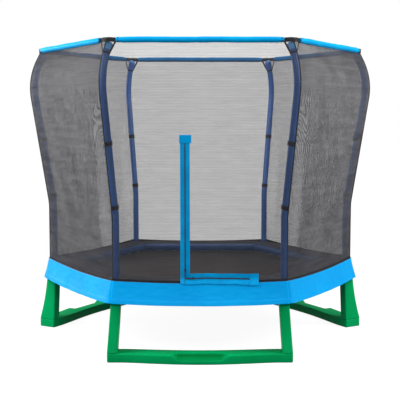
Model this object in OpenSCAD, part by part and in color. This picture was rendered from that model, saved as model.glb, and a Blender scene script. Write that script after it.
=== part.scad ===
// Six-sided junior garden trampoline with a padded frame, a flared skirt, three
// U-shaped ground legs, six bowed foam-covered poles and a zipped net enclosure.
// The origin is on the ground below the middle of the mat. The door faces -Y.

/* [Frame] */
// Radius to the tube axes at the six corners
frame_radius = 1030; // [900:5:1200]
// Height of the frame tube axis above the ground
frame_height = 445; // [400:5:600]
// Outer diameter of the frame tubes
frame_tube_d = 38; // [30:1:42]
// Wall of the frame tubes
frame_tube_wall = 2; // [1.2:0.1:3]
// Distance from a corner axis to the end of a frame tube
frame_tube_setback = 34; // [30:1:45]

/* [Corner sockets] */
// Outer diameter of the two arms that hold the frame tubes
arm_d = 44; // [43:0.5:50]
// Length of each arm from the corner axis
arm_len = 95; // [75:1:130]
// Outer diameter of the stub that stands in the leg
stub_d = 38; // [30:1:39]
// Wall of the stub
stub_wall = 3; // [2:0.5:5]
// Length of the stub below the arms
stub_len = 122; // [100:1:150]
// Outer diameter of the cup that holds the pole
cup_d = 32; // [30:0.5:34]
// Distance from the top of the safety pad down to the cup's rim
cup_inset = 2; // [1:0.5:4]
// Height of the cup's floor above the frame tube axis
cup_floor = 10; // [5:1:20]

/* [Legs] */
// Width of an upright along the side of the trampoline
upright_w = 62; // [56:1:72]
// Depth of an upright at its top
upright_depth = 76; // [64:1:78]
// Extra depth of an upright at its foot
upright_flare = 54; // [20:1:70]
// Wall between the stub's hole and the upright's end and inner faces
upright_wall = 7; // [5:0.5:9]
// Wall of the hollow lower part of an upright
upright_shell = 5; // [3:0.5:7]
// Height of the ground bar
bar_height = 56; // [45:1:75]
// Length of the ground bar past each corner axis
bar_overhang = 52; // [40:1:70]
// Distance that the outer face of the bar bows out at the middle
bar_bow_out = 52; // [20:1:70]
// Distance that the inner face of the bar bows out at the middle
bar_bow_in = 36; // [10:1:50]
// Wall of the hollow ground bar
bar_wall = 5; // [3:0.5:8]
// Height of the spigots that stand in the uprights
spigot_height = 28; // [15:1:40]
// Length of the scoop in the outer face at the top of the bar
scoop_top = 356; // [200:2:500]
// Length of the scoop at its floor
scoop_floor = 250; // [100:2:400]
// Depth of the scoop from the outer face at the middle
scoop_depth = 62; // [30:1:75]
// Height of the scoop's floor above the ground
scoop_height = 28; // [20:1:36]

/* [Poles] */
// Outer diameter of the pole tubes
pole_d = 25; // [22:0.5:27]
// Wall of the pole tubes
pole_wall = 1.5; // [1:0.1:2]
// Outer diameter of the foam sleeves
foam_d = 42; // [38:0.5:44]
// Height at which a pole starts to lean outwards
lean_start = 850; // [780:5:880]
// Angle of the lean from upright
lean = 9; // [5:0.5:11]
// Radius of the bend into the lean
lean_bend = 400; // [300:10:450]
// Length of the straight leaning stretch
lean_len = 710; // [660:5:760]
// Radius of the bend back inwards at the top
crook_bend = 440; // [380:10:500]
// Angle of the bend back inwards
crook = 36; // [32:0.5:40]
// Distance along the lean at which the two pole lengths join
joint_at = 160; // [60:5:200]
// Length of the swaged end inside the upper length
swage_len = 60; // [40:5:80]
// Outer diameter of a pole cap
cap_d = 48; // [46:0.5:49]
// Depth of a cap's skirt over the foam
cap_skirt = 30; // [20:1:40]
// Height of a cap's dome
cap_dome = 24; // [15:1:28]

/* [Safety pad] */
// Distance that the pad reaches out past the frame tube's axis
pad_overhang = 36; // [33:0.5:42]
// Width of the pad from its outer edge to its inner edge
pad_width = 196; // [190:1:228]
// Thickness of the pad over the frame
pad_thick = 26; // [18:0.5:28]
// Thickness of the inner lip that hangs towards the mat
lip_thick = 11; // [6:0.5:12]
// Distance that the lip hangs below the pad
lip_drop = 19; // [8:1:21]

/* [Skirt] */
// Height of the skirt
skirt_height = 136; // [80:1:150]
// Distance that the skirt's lower edge stands out from its upper edge
skirt_flare = 37; // [25:1:60]
// Thickness of the skirt
skirt_t = 2.6; // [1:0.2:4]
// Height that the skirt's piped edge stands above the pad
skirt_rise = 2; // [0:0.5:4]

/* [Net] */
// Thickness of the net
net_t = 2; // [1:0.5:4]
// Distance from a pole's axis to the net beside it
net_off = 28; // [27.5:0.5:34]
// Height at which the net follows the poles over its whole width
net_knee = 1600; // [1500:10:1610]
// Share of the net's half width that hangs straight
net_flat = 0.77; // [0.75:0.01:0.85]
// Diameter of the padded band round the top of the net
band_d = 33; // [24:0.5:40]
// Height of the band's axis above the pole ends
band_rise = 35; // [32:1:45]
// Distance from a corner of the net to the end of the band
band_setback = 82; // [70:1:110]
// Height of the webbing that joins the bands over a pole
bridge_height = 27; // [15:1:32]
// Thickness of the webbing
bridge_t = 2; // [1:0.2:3]
// Diameter of the knots in the cords that tie the webbing to the pole
tie_d = 3.5; // [2.5:0.5:3.5]
// Gap between the ties and the net
tie_gap = 2; // [1:0.5:4]
// Distance from the webbing down to the tie's knot
tie_drop = 80; // [70:1:90]

/* [Pole straps] */
// Heights of the two straps on each pole
strap_heights = [940, 1330];
// Width of a strap
strap_w = 25; // [15:1:40]
// Thickness of a strap
strap_t = 2; // [1:0.2:2.4]
// Length of a strap's buckle round the pole
buckle_len = 30; // [20:1:34]
// Thickness of a buckle
buckle_t = 6; // [3:0.5:10]
// Distance that a buckle stands past each edge of its strap
buckle_edge = 2.5; // [1:0.5:5]

/* [Door] */
// Place of the upright zip across the front
zip_x = -90; // [-160:2:-40]
// Length of the upright zip
zip_up = 872; // [700:4:900]
// Length of the level zip
zip_along = 442; // [400:2:460]
// Height of the level zip above the net's lower edge
zip_base = 17; // [15:1:30]
// Width of one half of a zip's tape
tape_w = 29; // [20:1:40]
// Thickness of the tape
tape_t = 1.2; // [0.8:0.1:2]
// Width of a zip slider
slider_w = 12; // [8:0.5:16]
// Length of a zip slider
slider_len = 16; // [10:0.5:24]
// Thickness of a zip slider
slider_t = 5; // [3:0.5:7]
// Length of a slider's pull
pull_len = 34; // [20:1:50]
// Distance of a closed slider from the door's corner
slider_rest = 48; // [40:1:80]
// Length of the stitching that closes the net at the far end of each zip
tack_len = 16; // [12:1:30]

/* [Mat and springs] */
// Distance from the frame tube to the mat's edge
mat_gap = 128; // [123:1:132]
// Thickness of the mat
mat_t = 3; // [2:0.5:4]
// Width of the webbing under the mat's edge
hem_w = 42; // [25:1:60]
// Thickness of that webbing
hem_t = 2.4; // [1.5:0.1:3]
// Springs on each side
springs_per_side = 6; // [4:1:7]
// Distance between neighbouring springs
spring_pitch = 125; // [110:1:128]
// Outer diameter of a spring
spring_d = 13; // [9:0.5:16]
// Wire of a spring and its hooks
wire_d = 3.2; // [2:0.1:4]
// Length of the straight wire at each end of a spring's coil
hook_len = 20.5; // [12:0.5:30]
// Wire of a ring on the mat
ring_wire_d = 4; // [3:0.1:5]
// Width of a ring
ring_w = 26; // [16:1:40]
// Distance that a ring stands out past the mat
ring_reach = 15; // [10:1:17]
// Length of a ring that lies on the mat
ring_grip = 20; // [10:1:24]

/* [Screws] */
// Diameter of the screws that hold the legs
leg_screw_d = 8; // [6:0.5:10]
// Diameter of the screws that hold the poles
pole_screw_d = 5; // [3:0.5:6]
// Distance from an upright's top down to its screw
leg_screw_drop = 36; // [25:1:60]
// Distance that a screw's tip reaches past the wall that it holds
screw_reach = 2; // [1:0.5:4]

/* [Fits] */
// Clearance of a tube or spigot in its hole
fit_gap = 0.2; // [0.1:0.05:0.4]
// Gap between pieces that rest on each other
seat_gap = 0.3; // [0.2:0.05:0.5]
// Gap between neighbouring cloth pieces at the corners
seam_gap = 1; // [0.6:0.2:3]
// Gap between the pad and the poles' foam
notch_gap = 1.5; // [1:0.5:3]

/* [Hidden] */
$fn = 48;
eps = 0.5; // overshoot of a cut past a face
screw_head_width = 1.8; // a screw's head, in diameters of the screw
screw_head_height = 0.5;
hook_grip = 3; // a spring's hook past the tube's wall
tie_cord = 0.8; // a tie's cord, in diameters of its knots
tube_facets = 12; // round a pole tube
foam_facets = 16; // round a foam sleeve
half_angle = 30; // from a side's middle to its corners
sides = ["front", "right_front", "right_rear", "rear", "left_rear", "left_front"];
corners = ["front_right", "right", "rear_right", "rear_left", "left", "front_left"];
leg_sides = [0, 2, 4];
leg_names = ["front", "right", "left"];

// Levels and distances that several pieces share
side_half = frame_radius * sin(half_angle); // half the distance between corner axes
side_out = frame_radius * cos(half_angle); // from the middle to a side's tube axis
tube_face = side_out - frame_tube_d / 2; // from the middle to a side's tube
pad_outer = side_out + pad_overhang; // from the middle to the pad's edges
pad_inner = pad_outer - pad_width;
arm_under = frame_height - arm_d / 2;
stub_end = arm_under - stub_len;
pad_base = frame_height + arm_d / 2 + seat_gap;
pad_top = pad_base + pad_thick;
skirt_top = pad_top + skirt_rise;
net_base = pad_top + seat_gap;
foam_base = pad_top + seat_gap;
cup_rise = pad_top - cup_inset - frame_height;
upright_top = arm_under - seat_gap;
upright_end = side_half + stub_d / 2 + fit_gap + upright_wall;
upright_in = side_out - stub_d / 2 - fit_gap - upright_wall;
bar_end = side_half + bar_overhang;

// A pole's path in its own upright plane: up, out, along the lean, back in, and straight
// inside the cap
lean_z0 = lean_start + lean_bend * sin(lean);
lean_r0 = frame_radius + lean_bend * (1 - cos(lean));
lean_z1 = lean_z0 + lean_len * cos(lean);
lean_r1 = lean_r0 + lean_len * sin(lean);
crook_z = lean_z1 + crook_bend * (sin(lean) - sin(lean - crook));
crook_r = lean_r1 + crook_bend * (cos(lean - crook) - cos(lean));
pole_end_z = crook_z + cap_skirt * cos(lean - crook);
pole_end_r = crook_r + cap_skirt * sin(lean - crook);

// Radius of the pole's axis at height z
function pole_radius(z) =
    z < lean_start ? frame_radius
    : z < lean_z0 ? frame_radius + lean_bend * (1 - cos(asin((z - lean_start) / lean_bend)))
    : z < lean_z1 ? lean_r0 + (z - lean_z0) * tan(lean)
    : z < crook_z ? lean_r1 + crook_bend
        * (cos(asin(sin(lean) - (z - lean_z1) / crook_bend)) - cos(lean))
    : z < pole_end_z ? crook_r + (z - crook_z) * tan(lean - crook)
    : pole_end_r;

// Distance from the middle to the net where it follows the poles, and where it hangs straight
function net_at_pole(z) = pole_radius(z) * cos(half_angle) + net_off;
net_slope = (net_at_pole(net_knee) - net_at_pole(net_base)) / (net_knee - net_base);
function net_straight(z) =
    z < net_knee ? net_at_pole(net_base) + (z - net_base) * net_slope : net_at_pole(z);
function ease(t) = t <= 0 ? 0 : t * t * (3 - 2 * t);
function net_share(u) = ease((abs(u) - net_flat) / (1 - net_flat));
function net_dist(u, z) = net_straight(z) + (net_at_pole(z) - net_straight(z)) * net_share(u);

band_z = pole_end_z + band_rise;
band_out = net_at_pole(pole_end_z) + net_t / 2;
band_half = band_out * tan(half_angle) - band_setback;
net_top = band_z - band_d / 2 - seat_gap;
net_columns = concat(
    [for (k = [0:4]) -1 + k * (1 - net_flat) / 4],
    [for (k = [4:-1:0]) 1 - k * (1 - net_flat) / 4]
);
net_rows_below = 7;
net_rows_above = 7;
net_levels = concat(
    [for (k = [0:net_rows_below - 1]) net_base + (net_knee - net_base) * k / net_rows_below],
    [for (k = [0:net_rows_above]) net_knee + (net_top - net_knee) * k / net_rows_above]
);

// The front net's flat part, on which the door lies
net_tilt = atan(net_slope);
zip_top = zip_base + zip_up;
zip_end = zip_x + zip_along;

// Springs and mat
spring_z = frame_height;
mat_outer = tube_face - mat_gap;
ring_out = mat_outer + ring_reach;
ring_z = spring_z - wire_d / 2 - seat_gap - ring_wire_d / 2;
mat_top = ring_z - ring_wire_d / 2 - seat_gap;
mat_base = mat_top - mat_t;

// ---- Placing ----

// Side number i, with x along the side and -y outwards; side 0 is the front
module at_side(i) {
    rotate([0, 0, 60 * i]) children();
}

// Corner number k, with x outwards
module at_corner(k) {
    rotate([0, 0, 60 * k - 60]) children();
}

// The corner's axis, with x outwards
module at_post(k) {
    at_corner(k) translate([frame_radius, 0, 0]) children();
}

// The leaning stretch of pole k at height z, with z along the pole
module at_lean(k, z) {
    at_corner(k) translate([pole_radius(z), 0, z]) rotate([0, lean, 0]) children();
}

// The upper end of pole k, with z along the pole
module at_pole_end(k) {
    at_corner(k) translate([pole_end_r, 0, pole_end_z]) rotate([0, lean - crook, 0]) children();
}

// The flat part of the front net, with y up the net and z outwards, z = 0 on its inner face
module on_front_net() {
    translate([0, -net_at_pole(net_base), net_base]) rotate([90 + net_tilt, 0, 0]) children();
}

// The upright of corner k, drawn for the right-hand end of its leg's side
module at_upright(k) {
    right_end = k % 2 == 0;
    at_side(right_end ? k : k + 1) mirror([right_end ? 0 : 1, 0, 0]) children();
}

// ---- Shapes used more than once ----

module ring2d(outer, inner) {
    difference() {
        circle(d = outer);
        circle(d = inner);
    }
}

module straight_tube(length, outer, inner) {
    linear_extrude(length) ring2d(outer, inner);
}

// A round rod from one point to another
module rod(from, to, d) {
    way = to - from;
    tip = acos(way[2] / norm(way));
    translate(from) rotate([0, tip, atan2(way[1], way[0])]) cylinder(h = norm(way), d = d);
}

// Stations along a pole in its corner's upright plane: [distance out from the corner's
// axis, height, tilt from upright]
bend_steps = 4;
crook_steps = 10;
lower_bend = [for (k = [0:bend_steps]) let (a = lean * k / bend_steps)
    [lean_bend * (1 - cos(a)), lean_start + lean_bend * sin(a), a]];
upper_crook = concat(
    [for (k = [0:crook_steps]) let (a = lean - crook * k / crook_steps)
        [
            lean_r1 - frame_radius + crook_bend * (cos(a) - cos(lean)),
            lean_z1 + crook_bend * (sin(lean) - sin(a)),
            a
        ]],
    [[pole_end_r - frame_radius, pole_end_z, lean - crook]]
);
function station_on_lean(along) =
    [lean_r0 - frame_radius + along * sin(lean), lean_z0 + along * cos(lean), lean];

// A round tube swept through stations
module swept_tube(stations, outer, inner, facets) {
    last = len(stations) - 1;
    back = facets * len(stations);
    turns = [for (j = [0:facets - 1]) 360 * j / facets];
    points = [for (d = [outer, inner], s = stations, t = turns)
        [s[0] + d / 2 * cos(t) * cos(s[2]), d / 2 * sin(t), s[1] - d / 2 * cos(t) * sin(s[2])]];
    walls = [for (i = [0:last - 1], j = [0:facets - 1])
        let (a = i * facets + j, b = i * facets + (j + 1) % facets)
        each [
            [a, a + facets, b + facets], [a, b + facets, b],
            [back + a, back + b + facets, back + a + facets], [back + a, back + b, back + b + facets]
        ]];
    rims = [for (j = [0:facets - 1])
        let (a = j, b = (j + 1) % facets, c = last * facets + a, d = last * facets + b)
        each [[a, b, back + b], [a, back + b, back + a], [d, c, back + c], [d, back + c, back + d]]];
    polyhedron(points = points, faces = concat(walls, rims));
}

// Part of the lean, from one distance along it to another
module pole_lean(from, to, outer, inner) {
    translate([lean_r0 - frame_radius, 0, lean_z0]) rotate([0, lean, 0])
        translate([0, 0, from]) straight_tube(to - from, outer, inner);
}

// A slab that follows one side between two distances, mitred at the corners
module side_slab(inner, outer, base, height) {
    cut = seam_gap / 2;
    translate([0, 0, base]) linear_extrude(height) polygon([
        [-inner * tan(half_angle) + cut, -inner],
        [inner * tan(half_angle) - cut, -inner],
        [outer * tan(half_angle) - cut, -outer],
        [-outer * tan(half_angle) + cut, -outer]
    ]);
}

// ---- Legs ----

bar_out_end = upright_in + upright_depth + upright_flare;
bar_steps = 24;
bow_end = upright_end - upright_w; // the bow lies between the uprights
function bow(s, rise) = abs(s) > bow_end ? 0 : rise * pow(1 - pow(s / bow_end, 2), 1.5);
function bar_outer(s) = bar_out_end + bow(s, bar_bow_out);
function bar_inner(s) = upright_in + bow(s, bar_bow_in);

// The bar's outline seen from above, drawn inwards by a wall
module bar_outline(wall) {
    reach = bar_end - wall;
    across = [for (k = [0:bar_steps]) -reach + 2 * reach * k / bar_steps];
    polygon(concat(
        [for (s = across) [s, -bar_inner(s) - wall]],
        [for (k = [bar_steps:-1:0]) [across[k], -bar_outer(across[k]) + wall]]
    ));
}

module bar_scoop() {
    top = scoop_top / 2;
    foot = scoop_floor / 2;
    back = bar_out_end + bar_bow_out - scoop_depth;
    translate([0, -back, 0]) rotate([90, 0, 0]) linear_extrude(scoop_depth + eps) polygon([
        [-foot, scoop_height],
        [foot, scoop_height],
        [top, bar_height + eps],
        [-top, bar_height + eps]
    ]);
}

// The hollow inside the bar stays below the scoop's floor in the middle
module bar_hollow() {
    reach = scoop_top / 2 + bar_wall;
    difference() {
        translate([0, 0, bar_wall]) linear_extrude(bar_height - 2 * bar_wall) bar_outline(bar_wall);
        translate([-reach, -bar_out_end - 2 * bar_bow_out, scoop_height - bar_wall])
            cube([2 * reach, bar_out_end, bar_height]);
    }
}

// End of the upright at height z: it leans out until its foot is flush with the bar's end
function upright_end_at(z) =
    upright_end + (bar_end - upright_end) * (upright_top - z) / (upright_top - bar_height);

// The upright across its width, drawn in by a wall and extruded over its depth
module upright_front(wall, from, to, depth) {
    inner = [for (z = [from, to]) [upright_end_at(z) - upright_w + wall, z]];
    outer = [for (z = [to, from]) [upright_end_at(z) - wall, z]];
    rotate([90, 0, 0]) linear_extrude(depth) polygon(concat(inner, outer));
}

module spigot() {
    wall = upright_shell + fit_gap;
    depth = upright_depth + upright_flare / 2 - 2 * wall;
    translate([0, -upright_in - wall, 0])
        upright_front(wall, bar_height - eps, bar_height + spigot_height, depth);
}

module leg_bar(i) {
    color("#00874f") at_side(leg_sides[i]) {
        difference() {
            linear_extrude(bar_height) bar_outline(0);
            bar_hollow();
            bar_scoop();
        }
        spigot();
        mirror([1, 0, 0]) spigot();
    }
}

// Depth of the upright at height z: it flares out towards the ground in a hollow curve
function upright_out(z) =
    upright_in + upright_depth
    + upright_flare * pow((upright_top - z) / (upright_top - bar_height), 2);

upright_levels = 10;
module upright_profile(wall, from, to) {
    levels = [for (k = [0:upright_levels]) from + (to - from) * k / upright_levels];
    polygon(concat(
        [[-upright_in - wall, to], [-upright_in - wall, from]],
        [for (z = levels) [-upright_out(z) + wall, z]]
    ));
}

// A length of the upright, drawn inwards by a wall
module upright_body(wall, from, to) {
    inner = upright_end - upright_w;
    deepest = upright_depth + 2 * upright_flare;
    intersection() {
        translate([inner, 0, 0]) rotate([90, 0, 90])
            linear_extrude(bar_end - inner + eps) upright_profile(wall, from, to);
        translate([0, -upright_in + eps, 0]) upright_front(wall, from, to, deepest);
    }
}

leg_screw_z = upright_top - leg_screw_drop;
module leg_upright(k) {
    base = bar_height + seat_gap;
    hollow_top = stub_end - upright_shell;
    color("#00965c") at_upright(k) difference() {
        upright_body(0, base, upright_top);
        upright_body(upright_shell, base - eps, hollow_top);
        translate([side_half, -side_out, hollow_top - eps])
            cylinder(h = upright_top - hollow_top + 2 * eps, d = stub_d + 2 * fit_gap);
        translate([side_half, -side_out, leg_screw_z]) rotate([90, 0, 0])
            cylinder(h = upright_depth + upright_flare, d = leg_screw_d + 2 * fit_gap);
    }
}

// ---- Frame ----

module corner_socket(k) {
    arm_turn = 90 + half_angle;
    at_post(k) difference() {
        union() {
            translate([0, 0, stub_end]) cylinder(h = frame_height - stub_end, d = stub_d);
            translate([0, 0, frame_height]) cylinder(h = cup_rise, d = cup_d);
            for (turn = [-arm_turn, arm_turn])
                translate([0, 0, frame_height]) rotate([0, 90, turn]) cylinder(h = arm_len, d = arm_d);
        }
        translate([0, 0, stub_end - eps])
            cylinder(h = arm_under - stub_end + eps, d = stub_d - 2 * stub_wall);
        translate([0, 0, frame_height + cup_floor])
            cylinder(h = cup_rise, d = pole_d + 2 * fit_gap);
        for (turn = [-arm_turn, arm_turn])
            translate([0, 0, frame_height]) rotate([0, 90, turn])
                translate([0, 0, frame_tube_setback - seat_gap])
                    cylinder(h = arm_len, d = frame_tube_d + 2 * fit_gap);
        leg_screw_path(k);
        pole_screw_path(fit_gap);
    }
}

module corner_sockets() {
    color("#23345c") for (k = [0:5]) corner_socket(k);
}

spring_places = [for (n = [0:springs_per_side - 1]) (n - (springs_per_side - 1) / 2) * spring_pitch];
module frame_tube(i) {
    half = side_half - frame_tube_setback;
    color("#23345c") at_side(i) difference() {
        translate([-half, -side_out, frame_height]) rotate([0, 90, 0])
            straight_tube(2 * half, frame_tube_d, frame_tube_d - 2 * frame_tube_wall);
        for (s = spring_places)
            translate([s, -tube_face + eps, spring_z]) rotate([90, 0, 0])
                cylinder(h = frame_tube_d / 2, d = wire_d + 2 * fit_gap);
    }
}

// ---- Screws ----

// A screw from its tip to its face, with its head on the face, along z
module screw(tip, face, d) {
    translate([0, 0, tip]) cylinder(h = face - tip, d = d);
    translate([0, 0, face]) cylinder(h = screw_head_height * d, d = screw_head_width * d);
}

// The leg's screw runs in across the side that the leg stands on
module leg_screw_path(k) {
    turn = k % 2 == 0 ? -half_angle : half_angle;
    rotate([0, 0, turn]) translate([0, 0, leg_screw_z]) rotate([0, 90, 0])
        cylinder(h = stub_d, d = leg_screw_d + 2 * fit_gap);
}

module leg_screw(k) {
    face = upright_out(leg_screw_z) - side_out + 3 * seat_gap;
    tip = stub_d / 2 - stub_wall - screw_reach;
    turn = k % 2 == 0 ? -half_angle : half_angle;
    at_post(k) rotate([0, 0, turn]) translate([0, 0, leg_screw_z]) rotate([0, 90, 0])
        screw(tip, face, leg_screw_d);
}

module leg_screws() {
    color("#b9bec4") for (k = [0:5]) leg_screw(k);
}

pole_screw_z = pad_base + pad_thick / 2;
module pole_screw_path(gap) {
    translate([0, 0, pole_screw_z]) rotate([0, 90, 0])
        cylinder(h = cup_d, d = pole_screw_d + 2 * gap);
}

module pole_screw(k) {
    tip = pole_d / 2 - pole_wall - screw_reach;
    face = cup_d / 2 + seat_gap;
    at_post(k) translate([0, 0, pole_screw_z]) rotate([0, 90, 0]) screw(tip, face, pole_screw_d);
}

module pole_screws() {
    color("#b9bec4") for (k = [0:5]) pole_screw(k);
}

// ---- Poles ----

pole_bore = pole_d - 2 * pole_wall;
module pole_tubes_lower() {
    swage_d = pole_bore * cos(180 / tube_facets) - 2 * fit_gap;
    bore = swage_d - 2 * pole_wall;
    color("#aab0b8") for (k = [0:5]) at_post(k) difference() {
        union() {
            swept_tube(
                concat(
                    [[0, frame_height + cup_floor + seat_gap, 0]],
                    lower_bend,
                    [station_on_lean(joint_at)]
                ),
                pole_d, bore, tube_facets
            );
            pole_lean(joint_at - pole_wall, joint_at + swage_len, swage_d, bore);
        }
        pole_screw_path(fit_gap);
    }
}

module pole_tubes_upper() {
    color("#aab0b8") for (k = [0:5]) at_post(k)
        swept_tube(
            concat([station_on_lean(joint_at + seat_gap)], upper_crook),
            pole_d, pole_bore, tube_facets
        );
}

module foam_sleeve(k) {
    bore = (pole_d + 2 * seat_gap) / cos(180 / foam_facets);
    color("#2d4b82") at_post(k)
        swept_tube(concat([[0, foam_base, 0]], lower_bend, upper_crook), foam_d, bore, foam_facets);
}

// A moulded cap: a skirt over the foam and a dome on a flat crown
module pole_cap(k) {
    crown = cap_d / 2 - cap_dome / 2;
    at_pole_end(k) rotate_extrude() difference() {
        union() {
            translate([0, -cap_skirt]) square([cap_d / 2, cap_skirt + cap_dome / 2]);
            translate([0, cap_dome / 2]) square([crown, cap_dome / 2]);
            intersection() {
                translate([crown, cap_dome / 2]) circle(r = cap_dome / 2);
                translate([crown, cap_dome / 2]) square(cap_dome / 2);
            }
        }
        translate([0, -cap_skirt - eps])
            square([foam_d / 2 + seat_gap, cap_skirt + eps + seat_gap]);
    }
}

module pole_caps() {
    color("#4696eb") for (k = [0:5]) pole_cap(k);
}

// ---- Safety pad and skirt ----

module pad(i) {
    notch_d = foam_d + 2 * notch_gap;
    color("#2a2b31") at_side(i) difference() {
        union() {
            side_slab(pad_inner, pad_outer, pad_base, pad_thick);
            side_slab(pad_inner, pad_inner + lip_thick, pad_base - lip_drop, lip_drop);
        }
        for (s = [-side_half, side_half])
            translate([s, -side_out, pad_base - eps])
                cylinder(h = pad_thick + 2 * eps, d = notch_d);
    }
}

// The skirt's wall in section, and its two corner planes cut the mitres
module skirt(i) {
    near = pad_outer + seat_gap;
    low = skirt_top - skirt_height;
    far = near + skirt_flare + skirt_t;
    half = far * tan(half_angle);
    color("#00aae6") at_side(i) intersection() {
        translate([-half, 0, 0]) rotate([90, 0, 90]) linear_extrude(2 * half) polygon([
            [-near, skirt_top],
            [-near - skirt_flare, low],
            [-near - skirt_flare - skirt_t, low],
            [-near - skirt_t, skirt_top]
        ]);
        side_slab(pad_inner, far, low - eps, skirt_height + 2 * eps);
    }
}

// ---- Net ----

// One point of the net's inner face, or of its outer face when skin is the net's thickness
function net_point(u, z, skin) = [
    u * ((net_at_pole(z) + skin) * tan(half_angle) - seam_gap / 2),
    -net_dist(u, z) - skin,
    z
];

// A closed sheet that hugs the poles at its two edges and hangs straight between them
module net_sheet() {
    nc = len(net_columns);
    nr = len(net_levels);
    back = nr * nc;
    points = concat(
        [for (z = net_levels, u = net_columns) net_point(u, z, net_t)],
        [for (z = net_levels, u = net_columns) net_point(u, z, 0)]
    );
    outer = [for (i = [0:nr - 2], j = [0:nc - 2]) let (a = i * nc + j, b = a + nc)
        each [[a, b, b + 1], [a, b + 1, a + 1]]];
    inner = [for (i = [0:nr - 2], j = [0:nc - 2]) let (a = back + i * nc + j, b = a + nc)
        each [[a, b + 1, b], [a, a + 1, b + 1]]];
    lower = [for (j = [0:nc - 2])
        each [[j, j + 1, back + j + 1], [j, back + j + 1, back + j]]];
    upper = [for (j = [0:nc - 2]) let (a = (nr - 1) * nc + j)
        each [[a + 1, a, back + a], [a + 1, back + a, back + a + 1]]];
    left = [for (i = [0:nr - 2]) let (a = i * nc, b = a + nc)
        each [[b, a, back + a], [b, back + a, back + b]]];
    right = [for (i = [0:nr - 2]) let (a = i * nc + nc - 1, b = a + nc)
        each [[a, b, back + b], [a, back + b, back + a]]];
    polyhedron(points = points, faces = concat(outer, inner, lower, upper, left, right));
}

module net(i) {
    color("#5a5a60", 0.55) at_side(i) {
        if (i == 0) {
            difference() {
                net_sheet();
                on_front_net() translate([0, 0, -5 * net_t])
                    linear_extrude(10 * net_t) door_outline(-seam_gap);
            }
        } else {
            net_sheet();
        }
    }
}

module top_band() {
    color("#00aae6") for (i = [0:5]) at_side(i)
        translate([-band_half, -band_out, band_z]) rotate([0, 90, 0])
            cylinder(h = 2 * band_half, d = band_d);
}

// A point beside a corner's webbing: its distances out from the pole's end and along the side
function tie_end(out, along, side, z) = [
    pole_end_r + out * cos(half_angle) - along * sin(half_angle),
    side * (out * sin(half_angle) + along * cos(half_angle)),
    z
];

// Webbing that runs from band to band round the outside of the pole's end, and a cord
// round the pole below its cap that ties both ends of the webbing down
module top_bridge(k) {
    base = band_z - bridge_height / 2;
    arm = band_setback - seat_gap - (band_out * tan(half_angle) - pole_end_r * sin(half_angle));
    loop_z = band_z - tie_drop;
    loop_tilt = asin(sin(lean) - (loop_z - lean_z1) / crook_bend);
    loop_r = foam_d / 2 + seat_gap + tie_d / 2;
    tie_in = net_off - tie_d / 2 - tie_gap;
    along = arm - tie_d;
    tie_z = base + tie_d;
    at_corner(k) {
        translate([pole_end_r, 0, base]) rotate([0, 0, -half_angle])
            rotate_extrude(angle = 2 * half_angle) translate([net_off, 0]) square([bridge_t, bridge_height]);
        for (side = [-1, 1]) {
            translate([pole_end_r, 0, 0]) rotate([0, 0, side * half_angle])
                translate([net_off, side > 0 ? 0 : -arm, base]) cube([bridge_t, arm, bridge_height]);
            knot = tie_end(tie_in, along, side, tie_z);
            rod(tie_end(net_off + bridge_t / 2, along, side, tie_z), knot, tie_cord * tie_d);
            rod(knot, [pole_radius(loop_z), side * loop_r, loop_z], tie_cord * tie_d);
            translate(knot) sphere(d = tie_d);
        }
        translate([pole_radius(loop_z), 0, loop_z]) rotate([0, loop_tilt, 0])
            translate([0, 0, -tie_d / 2]) straight_tube(tie_d, 2 * loop_r + tie_d, 2 * loop_r - tie_d);
    }
}

module top_webbing() {
    color("#1b1c20") for (k = [0:5]) top_bridge(k);
}

// ---- Pole straps ----

strap_in = foam_d / 2 + seat_gap;
module pole_straps() {
    color("#1b1c20") for (k = [0:5], z = strap_heights) at_lean(k, z)
        translate([0, 0, -strap_w / 2]) straight_tube(strap_w, 2 * (strap_in + strap_t), 2 * strap_in);
}

// A buckle lies on its strap, on the side of the pole that faces the mat
module strap_buckles() {
    seat = strap_in + strap_t + seat_gap;
    color("#26272c") for (k = [0:5], z = strap_heights) at_lean(k, z)
        translate([-seat - buckle_t, -buckle_len / 2, -strap_w / 2 - buckle_edge])
            cube([buckle_t, buckle_len, strap_w + 2 * buckle_edge]);
}

// ---- Door ----

// The door's triangle on the front net, drawn inwards by a margin. Stitching closes both
// of its tips, so the door ends a little before them.
module door_outline(margin) {
    slant = sqrt(zip_up * zip_up + zip_along * zip_along);
    up = margin * (slant + zip_up) / zip_along;
    along = margin * (slant + zip_along) / zip_up;
    intersection() {
        polygon([
            [zip_x + margin, zip_base + margin],
            [zip_end - along, zip_base + margin],
            [zip_x + margin, zip_top - up]
        ]);
        translate([zip_x, zip_base] + [margin, margin])
            square([zip_along - tack_len - 2 * margin, zip_up - tack_len - 2 * margin]);
    }
}

module door_flap() {
    color("#5a5a60", 0.55) on_front_net() linear_extrude(net_t) door_outline(0);
}

tape_lift = net_t + seat_gap;
module zip_tape_door() {
    color("#0096e1") on_front_net() translate([0, 0, tape_lift]) linear_extrude(tape_t) intersection() {
        door_outline(0);
        union() {
            translate([zip_x, zip_base]) square([tape_w, zip_up]);
            translate([zip_x, zip_base]) square([zip_along, tape_w]);
        }
    }
}

tape_foot = 2; // the fixed tape starts this far above the net's lower edge
module zip_tape_frame() {
    color("#0096e1") on_front_net() translate([0, 0, tape_lift]) linear_extrude(tape_t) {
        translate([zip_x - seam_gap - tape_w, tape_foot]) square([tape_w, zip_top - tape_foot]);
        translate([zip_x - seam_gap - eps, tape_foot])
            square([zip_along + seam_gap + eps, zip_base - seam_gap - tape_foot]);
    }
}

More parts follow.
